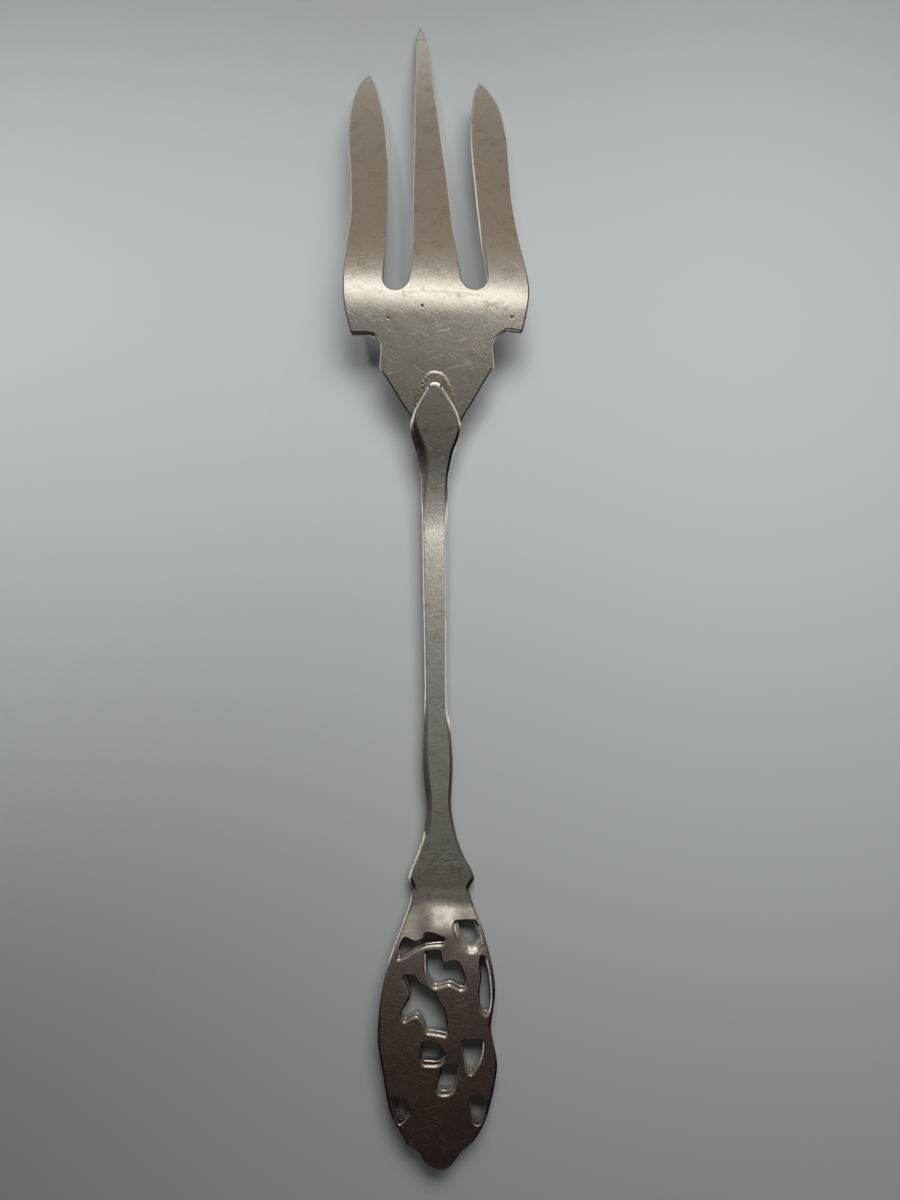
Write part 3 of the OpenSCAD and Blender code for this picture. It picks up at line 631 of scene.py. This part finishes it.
# Bevels of the ten piercings: width and slope of the side that looks towards the
# tines, of the side that looks right and of the side that looks left, and the
# taper. The side that looks to the end is alike on all.
piercingEdge = [
    (0.26, 0.34, 0.10, 0.36, 0.10, 0.36, 0.12), (0.66, 0.34, 0.30, 0.74, 0.50, 0.74, 0.36),
    (0.30, 0.34, 0.26, 0.74, 0.10, 0.36, 0.12), (0.25, 0.34, 0.12, 0.60, 0.10, 0.36, 0.12),
    (0.26, 0.60, 0.08, 0.36, 0.20, 0.90, 0.10), (0.26, 0.50, 0.10, 0.60, 0.08, 0.36, 0.10),
    (0.22, 0.50, 0.10, 0.60, 0.12, 0.84, 0.08), (0.22, 0.50, 0.10, 0.36, 0.10, 0.60, 0.10),
    (0.14, 0.60, 0.08, 0.36, 0.08, 0.36, 0.06), (0.14, 0.60, 0.08, 0.36, 0.08, 0.36, 0.06)]
piercingEnd = (0.08, 0.3)

noseY = sheetEndY + handle["lapLength"]
wideY = noseY - handle["noseLength"]
heelY = wideY - handle["heelLength"]
waistY = collarY + handle["flareLength"]
swellY = waistY + handle["swellLength"]
lowY = swellY + 2 * handle["swellLength"]
tongueX, stemX, lowX, middleX, swellX, collarX = (
    handle["stemShift"] * share for share in (0.6, 1.1, 0.6, 0.425, 0.25, -0.75))
notchZ = barLine(np.array([notchY]))[0][0]


def finialPoints(shares):
    return np.array([[s[0] * handle["finialWidth"] / 2, notchY - s[1] * handle["finialLength"]]
                     for s in shares])


def barRows(table, startY, length, startX, endX, narrow, wide):
    # rows of y, middle and half width for a table of shares
    return [[startY - length * a, startX + (endX - startX) * a, (narrow + (wide - narrow) * b) / 2]
            for a, b in table]


def barSides():
    # left and right side of the bar, from the tongue to the collar
    h = handle
    rows = barRows(nose, noseY, h["noseLength"], tongueX, tongueX, 0, h["tongueWidth"])
    rows += barRows(heel, wideY, h["heelLength"], tongueX, stemX, h["stemWidth"], h["tongueWidth"])
    rows += barRows(stem, heelY, heelY - lowY, stemX, lowX, h["stemWidth"], h["stemLowWidth"])
    rows += [[(lowY + swellY) / 2, middleX, (h["stemLowWidth"] + h["swellWidth"]) / 4],
             [swellY, swellX, h["swellWidth"] / 2], [waistY, 0, h["waistWidth"] / 2]]
    rows += barRows(flare, waistY, h["flareLength"], 0, collarX, h["waistWidth"], h["collarWidth"])
    y, middle, half = smoothCurve(rows, 5).T
    more, fromY, length = h["fuller"]
    bulge = more * np.sin(np.clip((fromY - y) / length, 0, 1) * math.pi)
    return np.stack([middle - half - bulge, y], 1), np.stack([middle + half, y], 1)


def handleLoops():
    left, right = barSides()
    finial = [smoothCurve(finialPoints(side), 6) for side in (finialLeft, finialTip, finialRight)]
    outer = evenLoop(np.vstack([left, *finial, right[::-1]]), handle["gap"])
    reach, fade, rounds = handle["collarRub"]
    knob = smoothStep((reach - np.abs(outer[:, 1] - collarY)) / fade)[:, None]
    loops = [turned(eased(outer, rounds, knob), True)]
    for shares in piercings:
        hole = smoothCurve(finialPoints(shares), 5, closed=True)
        loops.append(turned(evenLoop(hole, handle["holeGap"]), False))
    return loops


def handleEdge(rim):
    y = rim.points[:, 1]
    outer = rim.loopOf == 0
    edges = []
    for column in (1, 2, 3):
        sides = [alongY([(row[0], row[column]) for row in table], y) for table in (leftEdge, rightEdge)]
        edge = np.where(rim.inward[:, 0] > 0, *sides)
        edge[outer] = eased(edge[outer], 12)
        edges.append(edge)
    width, slope, power = edges
    ahead = smoothStep((-rim.inward[:, 1] - 0.56) / 0.16) * (outer & (y > handle["noseFrom"]))
    width += (handle["noseEdge"][0] - width) * ahead
    slope += (handle["noseEdge"][1] - slope) * ahead
    for k, bevel in enumerate(piercingEdge):
        hole = rim.loopOf == k + 1
        widths, slopes = (*bevel[0:6:2], piercingEnd[0]), (*bevel[1:6:2], piercingEnd[1])
        # inward points away from the opening, so a side that looks right has it to the left
        weights = [smoothStep(-rim.inward[hole] @ np.array(way) / 0.9)
                   for way in ((0, 1), (1, 0), (-1, 0), (0, -1))]
        width[hole] = sum(w * value for w, value in zip(weights, widths)) / sum(weights)
        slope[hole] = sum(w * value for w, value in zip(weights, slopes)) / sum(weights)
        power[hole] = handle["holePower"]
        for edge in edges:
            edge[hole] = eased(edge[hole], 3)
    return width, width * slope, power


def handleTaper(rim):
    return np.array([0, *(bevel[-1] for bevel in piercingEdge)])[rim.loopOf]


def handleUnderEdge(rim):
    return np.where(rim.points[:, 1] > handle["frontMeets"], handle["barFront"], handle["finialFront"])


# Step up to the finial: places along Y and slopes there, and on the left and
# right where its own slopes begin and how soon they take over
stepLeft = [(-45.6, 0), (-46.8, 0.2), (-49.0, 0.24), (-51.0, 0)]
stepMiddle = [(-45.2, 0), (-46.0, 0.3), (-47.9, 0.3), (-49.1, 0)]
stepRight = [(-45.5, 0), (-46.1, 0.24), (-48.2, 0.24), (-49.2, 0.09), (-52.8, 0)]
stepLeftFrom, stepRightFrom = (-0.4, 2.4), (0.8, 2.0)


def stepShare(slopes, y):
    # share of the step that is done at y
    places = np.linspace(slopes[0][0], slopes[-1][0], 200)
    steep = np.interp(-places, [-row[0] for row in slopes], [row[1] for row in slopes])
    done = np.concatenate([[0], np.cumsum((steep[1:] + steep[:-1]) / 2)])
    return np.interp(-y, -places, done / done[-1])


def handleTop(points):
    # back of the handle: the bar's own line, then a soft step up to the finial
    x, y = points.T
    toLeft = smoothStep((stepLeftFrom[0] - x) / stepLeftFrom[1])
    toRight = smoothStep((x - stepRightFrom[0]) / stepRightFrom[1])
    share = ((1 - toLeft - toRight) * stepShare(stepMiddle, y) + toLeft * stepShare(stepLeft, y)
             + toRight * stepShare(stepRight, y))
    step = notchZ + (handle["finialThick"] - notchZ) * share
    return np.where(y < notchY, step, barLine(y)[0])


def handlePlace(points, depth):
    x, y = points.T
    lean = np.where(y < notchY, 0, barLine(y)[1])
    return np.stack([x, y, handleTop(points) - depth / np.cos(lean)], 1)


def handleThickness(points, gap):
    h = handle
    y = points[:, 1]
    lap = lapRise * neckCosine - filmThick
    bar = np.where(y > sheetEndY - filmThick, lap, bend["stemThick"])
    # front of the finial: a flat face that meets the bar, with a sunk ground
    share = (notchY - y) / h["finialLength"]
    underZ = (notchZ - bend["stemThick"]) * (1 - smoothStep(share / h["frontBlend"]))
    ground = h["groundDepth"] * smoothStep((gap - h["rimWidth"]) / h["groundFade"])
    ground = ground * smoothStep((share - h["groundStart"][0]) / h["groundStart"][1])
    return np.where(y < notchY, handleTop(points) - underZ - ground - skin, bar)


# Two pits in the flare: (x, y, radius, depth), and two old scratches above the collar
handlePits = [(-2.2, -38.9, 0.22, 0.1), (-3.0, -41.2, 0.22, 0.1)]
stemScratches = [[(-0.89, -41.59), (0.83, -39.89)], [(0.69, -41.22), (1.99, -41.01)]]


def handleRelief(points, gap):
    h = handle
    x, y = points.T
    depth = ripple(points, *h["wave"]) + skin
    depth += sum(dent(points, *pit) for pit in handlePits)
    over = smoothStep((h["lipHalf"] - np.abs(x - h["lipX"])) / h["lipFade"])
    over = over * smoothStep((y - h["lipY"][0]) / h["lipFade"]) * (y < h["lipY"][1])
    depth -= h["lipHeight"] * over * (1 - smoothStep(gap / h["lipReach"]))
    for line in stemScratches:
        depth += groove(points, line, *h["scratch"])
    return depth


def makeHandle():
    # two close rows of points where the bar steps down behind the sheet
    stepY = sheetEndY - filmThick
    x = np.arange(-4, 4, 0.15)
    extra = [np.stack([x, np.full(len(x), stepY + off)], 1) for off in (-0.012, 0.012)]
    extra += [grooveSpots(line, handle["scratch"][0]) for line in stemScratches]
    return buildPlate("handleBar", handleLoops(), handle["pitch"], handleEdge, handleUnderEdge,
                      handlePlace, handleThickness, handleRelief, np.vstack(extra), handleTaper)


solder = {
    "height": 0.3, "reach": 1.6, "sunk": 0.03, "inset": 0.1, "gap": 0.1, "pitch": 0.14,
    # edge, shallower to the right by a share, and the thin edge underneath
    "edgeWidth": 0.26, "edgeDepth": 0.045, "edgePower": 1.15, "shallower": 0.45, "underEdge": 0.02,
    # thinned away from the tongue: how much, over what length
    "thinned": (0.02, 1.5),
    # grain: depth, size and seed, and its shares at the right and added at the left
    "grain": (0.012, 0.4, 11), "grainShares": (0.35, 1.1),
}
apron = [[0, 0.05], [0.012, 0.16], [0.035, 0.29], [0.11, 0.46], [0.23, 0.615],
         [0.385, 0.755], [0.54, 0.85], [0.7, 0.93], [0.85, 0.96], [1, 0.96]]


def solderLoops():
    rows = smoothCurve(apron, 6)
    half = handle["tongueWidth"] * rows[:, 1] / 2
    y = noseY + solder["reach"] - (handle["noseLength"] + solder["reach"]) * rows[:, 0]
    right = np.stack([tongueX + half, y], 1)
    left = np.stack([tongueX - half, y], 1)
    endHalf = forkHead["endWidth"] / 2 - solder["inset"]
    foot = [[tongueX + side * endHalf, sheetEndY + solder["underEdge"]] for side in (1, -1)]
    return [turned(evenLoop(np.vstack([left[::-1], right, foot]), solder["gap"]), True)]


def makeSolder():
    s = solder
    left, right = barSides()
    keep = left[:, 1] > sheetEndY - 1
    tongue = turned(np.vstack([left[keep], right[keep][::-1]]), True)
    tongueRim = Rim([tongue])

    def edge(rim):
        count = len(rim.points)
        toRight = smoothStep((rim.points[:, 0] - 0.4) / 1.2)
        return (np.full(count, s["edgeWidth"]), s["edgeDepth"] * (1 - s["shallower"] * toRight),
                np.full(count, s["edgePower"]))

    def underEdge(rim):
        return np.full(len(rim.points), s["underEdge"])

    def thickness(points, gap):
        return np.full(len(points), s["height"] + s["sunk"])

    def place(points, depth):
        return onSheet(points, depth - s["height"])

    def relief(points, gap):
        away, _ = tongueRim.nearest(points)
        most, length = s["thinned"]
        right, added = s["grainShares"]
        rough = ripple(points, *s["grain"]) * (right + added * smoothStep((-points[:, 0] - 0.9) / 0.9))
        # under the tongue it is only a film
        under = insideLoops(points, [tongue]) & (away > 0.06)
        film = s["height"] - filmThick + 0.01
        return np.where(under, film, most * np.clip(away / length, 0, 1) + rough)

    return buildPlate("solderJoint", solderLoops(), s["pitch"], edge, underEdge, place, thickness, relief)


def addNode(tree, kind, values=None, **settings):
    made = tree.nodes.new("ShaderNode" + kind)
    for key, value in settings.items():
        setattr(made, key, value)
    for key, value in (values or {}).items():
        if isinstance(value, bpy.types.NodeSocket):
            tree.links.new(value, made.inputs[key])
        else:
            made.inputs[key].default_value = value
    return made


def addMath(tree, operation, a, b=0.0, c=0.0, clamp=False):
    return addNode(tree, "Math", {0: a, 1: b, 2: c}, operation=operation, use_clamp=clamp).outputs[0]


def times(tree, a, b, plus=0.0):
    return addMath(tree, "MULTIPLY_ADD", a, b, plus)


def newGroup(name, inputs, outputs):
    group = bpy.data.node_groups.new(name, "ShaderNodeTree")
    for label, value in inputs.items():
        kind = "NodeSocketVector" if value is None else "NodeSocketFloat"
        socket = group.interface.new_socket(name=label, in_out="INPUT", socket_type=kind)
        if value is not None:
            socket.default_value = value
    for label in outputs:
        group.interface.new_socket(name=label, in_out="OUTPUT", socket_type="NodeSocketFloat")
    return group, group.nodes.new("NodeGroupInput").outputs, group.nodes.new("NodeGroupOutput").inputs


def noise(tree, place, scale, detail=2.0, rough=0.5):
    return addNode(tree, "TexNoise", {"Vector": place, "Scale": scale, "Detail": detail,
                                               "Roughness": rough}).outputs["Fac"]


def rampBetween(tree, value, low, high, first=0.0, last=1.0):
    return addNode(tree, "MapRange", {0: value, 1: low, 2: high, 3: first, 4: last},
                   interpolation_type="SMOOTHSTEP").outputs[0]


def makeTarnishGroup():
    # cloudy patches of tarnish, broken up by smaller spots
    inputs = {"Place": None, "Patch Size": 6.0, "Spread": 0.5, "Spots": 0.3}
    group, given, made = newGroup("tarnishPatches", inputs, ["Mask", "Speckle"])
    scale = addMath(group, "DIVIDE", 1.0, given["Patch Size"])
    cloud = noise(group, given["Place"], scale, 4.0, 0.6)
    small = noise(group, given["Place"], times(group, scale, 7.0), 3.0, 0.6)
    mixed = times(group, addMath(group, "SUBTRACT", small, 0.5), given["Spots"], cloud)
    edge = addMath(group, "SUBTRACT", 0.75, times(group, given["Spread"], 0.5))
    low, high = (addMath(group, "ADD", edge, soft) for soft in (-0.14, 0.14))
    mask = rampBetween(group, mixed, low, high)
    group.links.new(mask, made["Mask"])
    fine = times(group, scale, 9.0)
    speck = addNode(group, "TexVoronoi", {"Vector": given["Place"], "Scale": fine}, feature="F1")
    group.links.new(rampBetween(group, speck.outputs["Distance"], 0.0, 0.16, 1.0, 0.0), made["Speckle"])
    return group


def makeGrainGroup():
    # marks of filing and polishing, drawn out along Y by Stretch
    inputs = {"Place": None, "Grain Size": 0.25, "Stretch": 4.0, "Line Share": 0.5}
    group, given, made = newGroup("handGrain", inputs, ["Height", "Tone"])
    scale = addMath(group, "DIVIDE", 1.0, given["Grain Size"])
    parts = addNode(group, "SeparateXYZ", {0: given["Place"]}).outputs
    along = addMath(group, "DIVIDE", parts[1], given["Stretch"])
    drawn = addNode(group, "CombineXYZ", {0: parts[0], 1: along, 2: parts[2]}).outputs[0]
    lines = noise(group, drawn, scale, 3.0, 0.65)
    pebble = noise(group, given["Place"], times(group, scale, 0.8), 3.0, 0.6)
    mixed = addNode(group, "Mix", {0: given["Line Share"], 2: pebble, 3: lines},
                    data_type="FLOAT").outputs[0]
    group.links.new(mixed, made["Height"])
    group.links.new(rampBetween(group, mixed, 0.3, 0.7), made["Tone"])
    return group


def makeEdgeGroup():
    # rubbed edges: 1 on the edge, fading inwards over Width in millimetres
    group, given, made = newGroup("edgeRub", {"Place": None, "Width": 0.4, "Break": 0.4}, ["Mask"])
    gap = addNode(group, "Attribute", attribute_name="edgeGap").outputs["Fac"]
    spread = noise(group, given["Place"], 1.6, 2.0)
    broken = times(group, addMath(group, "SUBTRACT", spread, 0.5), given["Break"], 1.0)
    share = addMath(group, "DIVIDE", gap, times(group, given["Width"], broken))
    group.links.new(rampBetween(group, share, 0.0, 1.0, 1.0, 0.0), made["Mask"])
    return group


def makeScratchGroup():
    # thin scratches in three directions
    group, given, made = newGroup("fineScratches", {"Place": None, "Spacing": 1.2, "Amount": 0.4}, ["Mask"])
    total = None
    for angle, offset in ((0.5, 3.0), (-0.9, 17.0), (1.35, 31.0)):
        turn = addNode(group, "VectorRotate", {0: given["Place"], 3: angle},
                       rotation_type="Z_AXIS").outputs[0]
        moved = addNode(group, "VectorMath", {0: turn, 1: (offset, offset, 0)}, operation="ADD").outputs[0]
        thin = addNode(group, "VectorMath", {0: moved, 1: (9.0, 0.35, 1.0)}, operation="MULTIPLY").outputs[0]
        line = noise(group, thin, addMath(group, "DIVIDE", 1.0, given["Spacing"]), 1.0, 0.4)
        mask = rampBetween(group, line, 0.70, 0.76)
        total = mask if total is None else addMath(group, "MAXIMUM", total, mask)
    group.links.new(times(group, total, given["Amount"]), made["Mask"])
    return group


def useGroup(tree, name, values):
    return addNode(tree, "Group", values, node_tree=groups[name]).outputs


def mixColour(tree, factor, first, second, blend="MIX"):
    return addNode(tree, "Mix", {0: factor, 6: first, 7: second}, data_type="RGBA",
                   blend_type=blend).outputs[2]


groups = {"tarnish": makeTarnishGroup(), "grain": makeGrainGroup(), "edge": makeEdgeGroup(),
          "scratch": makeScratchGroup()}
print("shader groups made")

plainSilver = {
    "clean": (0.74, 0.71, 0.65, 1), "tarnished": (0.56, 0.50, 0.43, 1), "rubbed": (0.82, 0.80, 0.75, 1),
    "spread": 0.2, "patch": 1.6, "spots": 0.7, "speck": 0.1, "roughness": 0.21, "roughSpread": 0.03,
    "grainSize": 0.2, "stretch": 3.0, "lines": 0.7, "grainHeight": 0.014,
    "scratchAmount": 0.5, "scratchSpacing": 1.3, "edgeWidth": 0.35, "edgeBreak": 0.6,
    # how much the grain darkens and with what, and the painted dark reflection that makes the end darker and
    # browner: its amount, the y span it fades over, and its colour
    "toneShare": 0.16, "toneColour": (0.5, 0.47, 0.42, 1),
    "paintedReflectionAmount": 0.0, "paintedReflectionFrom": (-58.0, -40.0), "paintedReflectionBrown": (0.47, 0.35, 0.31, 1),
    "rubShare": 0.3, "toneRough": 0.05, "rubRough": -0.07, "scratchHeight": -0.35,
}
silverFinish = {
    "headSilver": plainSilver,
    "handleSilver": {
        **plainSilver,
        "clean": (0.73, 0.71, 0.67, 1), "tarnished": (0.52, 0.44, 0.38, 1), "rubbed": (0.84, 0.82, 0.78, 1),
        "patch": 1.4, "spots": 0.5, "roughness": 0.19, "stretch": 2.4, "lines": 0.65, "grainHeight": 0.018,
        # painted dark reflection: the end of the finial is made darker and browner in its colour
        "paintedReflectionAmount": 0.65, "scratchAmount": 0.55, "scratchSpacing": 1.0,
    },
    "solderSilver": {
        **plainSilver,
        "clean": (0.72, 0.69, 0.60, 1), "tarnished": (0.42, 0.36, 0.27, 1), "rubbed": (0.86, 0.84, 0.77, 1),
        "spread": 0.5, "spots": 0.6, "speck": 0.35, "roughness": 0.24, "roughSpread": 0.08,
        "grainSize": 0.16, "stretch": 1.0, "lines": 0.0, "grainHeight": 0.006,
        "scratchAmount": 0.2, "scratchSpacing": 1.5, "edgeWidth": 0.3,
    },
}


def newMaterial(name):
    material = bpy.data.materials.new(name)
    material.use_nodes = True
    tree = material.node_tree
    return material, tree, tree.nodes["Principled BSDF"].inputs


def makeSilver(name):
    finish = silverFinish[name]
    material, tree, surface = newMaterial(name)
    surface["Metallic"].default_value = 1.0
    object_ = addNode(tree, "TexCoord").outputs["Object"]
    place = addNode(tree, "VectorMath", {0: object_, 3: 1 / millimetre}, operation="SCALE").outputs[0]
    tarnish = useGroup(tree, "tarnish", {"Place": place, "Patch Size": finish["patch"],
                                         "Spread": finish["spread"], "Spots": finish["spots"]})
    grain = useGroup(tree, "grain", {"Place": place, "Grain Size": finish["grainSize"],
                                     "Stretch": finish["stretch"], "Line Share": finish["lines"]})
    edge = useGroup(tree, "edge", {"Place": place, "Width": finish["edgeWidth"],
                                   "Break": finish["edgeBreak"]})
    scratch = useGroup(tree, "scratch", {"Place": place, "Spacing": finish["scratchSpacing"],
                                         "Amount": finish["scratchAmount"]})
    speck = times(tree, tarnish["Speckle"], finish["speck"])
    dull = addMath(tree, "MAXIMUM", tarnish["Mask"], speck)
    colour = mixColour(tree, dull, finish["clean"], finish["tarnished"])
    shade = times(tree, addMath(tree, "SUBTRACT", 1.0, grain["Tone"]), finish["toneShare"])
    colour = mixColour(tree, shade, colour, finish["toneColour"])
    # painted dark reflection: from y -40 to -58 the colour goes darker and browner towards the end of the
    # handle
    along = addNode(tree, "SeparateXYZ", {0: place}).outputs[1]
    paintedReflectionBrown = rampBetween(tree, along, *finish["paintedReflectionFrom"], finish["paintedReflectionAmount"], 0.0)
    colour = mixColour(tree, paintedReflectionBrown, colour, finish["paintedReflectionBrown"])
    rubbed = times(tree, edge["Mask"], finish["rubShare"])
    colour = mixColour(tree, rubbed, colour, finish["rubbed"])
    colour = mixColour(tree, scratch["Mask"], colour, finish["rubbed"])
    tree.links.new(colour, surface["Base Color"])
    rough = times(tree, dull, finish["roughSpread"], finish["roughness"])
    rough = times(tree, grain["Tone"], finish["toneRough"], rough)
    rough = times(tree, edge["Mask"], finish["rubRough"], rough)
    tree.links.new(rough, surface["Roughness"])
    height = times(tree, scratch["Mask"], finish["scratchHeight"], grain["Height"])
    bump = addNode(tree, "Bump", {"Strength": 1.0, "Distance": finish["grainHeight"] * millimetre,
                                            "Height": height}).outputs[0]
    tree.links.new(bump, surface["Normal"])
    return material


silvers = {name: makeSilver(name) for name in silverFinish}
print("silver finishes made")

pieces = (
    (makeForkHead(), "fork_head", "head_metal", "headSilver"),
    (makeHandle(), "handle", "handle_metal", "handleSilver"),
    (makeSolder(), "solder_joint", "solder_metal", "solderSilver"),
)
for piece, nodeName, slotName, finishName in pieces:
    piece.data.materials.append(silvers[finishName])
    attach(piece, "root")
    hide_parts(nodeName)
print("pieces placed")

studio = {
    "floorColour": (0.40, 0.425, 0.43, 1), "floorRings": (0.0, 0.05, 0.1, 0.2, 0.5, 2.0, 30.0),
    "floorRough": 0.9, "floorShine": 0.1,
    "level": (0.11, 0.112, 0.115, 1),
    "horizon": (0.38, 0.39, 0.395, 1), "mirroredHorizon": (0.95, 0.93, 0.87, 1), "horizonHeight": 0.38,
    "seenHigher": 0.14, "horizonFade": (0.4, 1.0),
    # darker sides: shares of the light, from x and y shares of the way there
    "darkLeft": 0.45, "darkRight": 0.32, "darkX": (0.2, 0.5), "darkY": (0.3, 0.6), "darkSwap": 0.2,
    # the horizon is dark behind the finial and dimmer ahead of the tines
    "behind": (-0.7, -0.35), "ahead": (0.6, 0.9, 1.0, 0.6),
    # sky colours by lean from straight up towards +Y, in degrees
    "sky": [(-90, (0.04, 0.035, 0.03)), (-62, (0.04, 0.035, 0.03)), (-42, (0.035, 0.03, 0.025)),
            (-26, (0.012, 0.007, 0.006)), (-15, (0.016, 0.010, 0.008)), (-12, (0.05, 0.037, 0.031)),
            (-9.5, (0.15, 0.13, 0.115)), (-6, (0.145, 0.14, 0.13)), (-2, (0.175, 0.17, 0.16)),
            (3, (0.23, 0.225, 0.21)), (9, (0.33, 0.32, 0.30)), (20, (0.36, 0.345, 0.31)),
            (30, (0.34, 0.30, 0.25)), (40, (0.29, 0.245, 0.20)), (56, (0.27, 0.23, 0.19)),
            (74, (0.29, 0.26, 0.22)), (86, (0.42, 0.42, 0.41)), (90, (0.5, 0.5, 0.5))],
    # softboxes: name, place, point they face, width, depth, radiance, colour, turn and spread in degrees,
    # seen in metal
    "softboxes": [
        ("crestBox", (-0.008, 0.058, 0.175), (-0.004, 0.03, 0.009), 0.10, 0.026, 1.9,
         (1.0, 0.975, 0.90), 36.0, 180.0, True),
        ("floorBox", (0.04, 0.05, 0.14), (0.0376, 0.0071, 0.0), 0.10, 0.08, 3.64,
         (1.0, 1.0, 1.0), 0.0, 104.6, False),
        ("sideSpot", (-0.085, 0.035, 0.4), (-0.085, 0.0352, 0.0), 0.04, 0.04, 6.46,
         (1.0, 1.0, 1.0), 0.0, 27.0, False),
    ],
    "lens": 27.0, "sensor": 36.0, "clip": (0.001, 200.0),
    "cameraPlace": (0.00504909, -0.03391459, 0.10704), "cameraTurn": (12.24772, 2.05738, -0.15646),
}


def makeFloor():
    mesh = bpy.data.meshes.new("paleFloor")
    work = bmesh.new()
    rings = studio["floorRings"]
    spots = sorted({-r for r in rings} | set(rings))
    grid = [[work.verts.new((x, y, 0)) for x in spots] for y in spots]
    for j in range(len(spots) - 1):
        for i in range(len(spots) - 1):
            work.faces.new((grid[j][i], grid[j][i + 1], grid[j + 1][i + 1], grid[j + 1][i]))
    work.to_mesh(mesh)
    work.free()
    floor = newObject("paleFloor", mesh)
    material, _, surface = newMaterial("floorPaper")
    surface["Base Color"].default_value = studio["floorColour"]
    surface["Roughness"].default_value = studio["floorRough"]
    surface["Specular IOR Level"].default_value = studio["floorShine"]
    floor.data.materials.append(material)


def makeSky():
    s = studio
    world = bpy.data.worlds.new("studioSky")
    bpy.context.scene.world = world
    world.use_nodes = True
    tree = world.node_tree
    tree.nodes.clear()
    way = addNode(tree, "TexCoord").outputs["Generated"]
    parts = addNode(tree, "SeparateXYZ", {0: way}).outputs
    lean = addMath(tree, "ARCTAN2", parts[1], addMath(tree, "MAXIMUM", parts[2], 0.0))
    share = times(tree, lean, 1 / math.pi, 0.5)
    ramp = addNode(tree, "ValToRGB", {0: share})
    stops = s["sky"]
    line = ramp.color_ramp
    while len(line.elements) > 1:
        line.elements.remove(line.elements[-1])
    line.elements[0].position = 0.0
    line.elements[0].color = (*stops[0][1], 1)
    for angle, colour in stops[1:]:
        line.elements.new((angle + 90) / 180).color = (*colour, 1)
    aside = rampBetween(tree, addMath(tree, "ABSOLUTE", parts[0]), *s["darkX"])
    aside = times(tree, aside, rampBetween(tree, parts[1], *s["darkY"], 1.0, 0.0))
    dark = rampBetween(tree, parts[0], -s["darkSwap"], s["darkSwap"],
                       s["darkLeft"] - 1.0, s["darkRight"] - 1.0)
    side = times(tree, aside, dark, 1.0)
    sky = mixColour(tree, 1.0, ramp.outputs[0], side, "MULTIPLY")
    path = addNode(tree, "LightPath").outputs
    height = times(tree, path["Is Camera Ray"], s["seenHigher"], s["horizonHeight"])
    low = rampBetween(tree, addMath(tree, "DIVIDE", parts[2], height), *s["horizonFade"], 1.0, 0.0)
    ahead = rampBetween(tree, parts[1], *s["behind"])
    ahead = times(tree, ahead, rampBetween(tree, parts[1], *s["ahead"]))
    mirrored = mixColour(tree, 1.0, s["mirroredHorizon"], ahead, "MULTIPLY")
    horizon = mixColour(tree, path["Is Camera Ray"], mirrored, s["horizon"])
    sky = mixColour(tree, low, sky, horizon)
    seen = addMath(tree, "ADD", path["Is Camera Ray"], path["Is Glossy Ray"])
    seen = addMath(tree, "ADD", seen, path["Is Transmission Ray"], clamp=True)
    colour = mixColour(tree, seen, s["level"], sky)
    back = addNode(tree, "Background", {"Color": colour, "Strength": 1.0}).outputs[0]
    out = addNode(tree, "OutputWorld")
    tree.links.new(back, out.inputs["Surface"])


def makeSoftboxes():
    for name, spot, target, width, depth, radiance, colour, turn, spread, mirrored in studio["softboxes"]:
        lamp = bpy.data.lights.new(name, "AREA")
        lamp.shape = "RECTANGLE"
        lamp.size = width
        lamp.size_y = depth
        lamp.energy = radiance * width * depth * math.pi
        lamp.color = colour
        lamp.spread = math.radians(spread)
        box = newObject(name, lamp)
        box.location = spot
        box.visible_camera = False
        box.visible_glossy = mirrored
        facing = (Vector(target) - Vector(spot)).to_track_quat("-Z", "Y")
        box.rotation_euler = (facing @ Quaternion((0, 0, 1), math.radians(-turn))).to_euler()


def makeCamera():
    lens = bpy.data.cameras.new("photoCamera")
    lens.lens = studio["lens"]
    lens.sensor_width = studio["sensor"]
    lens.clip_start, lens.clip_end = studio["clip"]
    camera = newObject("photoCamera", lens)
    camera.location = studio["cameraPlace"]
    camera.rotation_euler = [math.radians(a) for a in studio["cameraTurn"]]
    bpy.context.scene.camera = camera


makeFloor()
makeSky()
makeSoftboxes()
makeCamera()
bpy.context.scene.view_settings.view_transform = "Standard"
print("studio set")

bpy.context.view_layer.update()
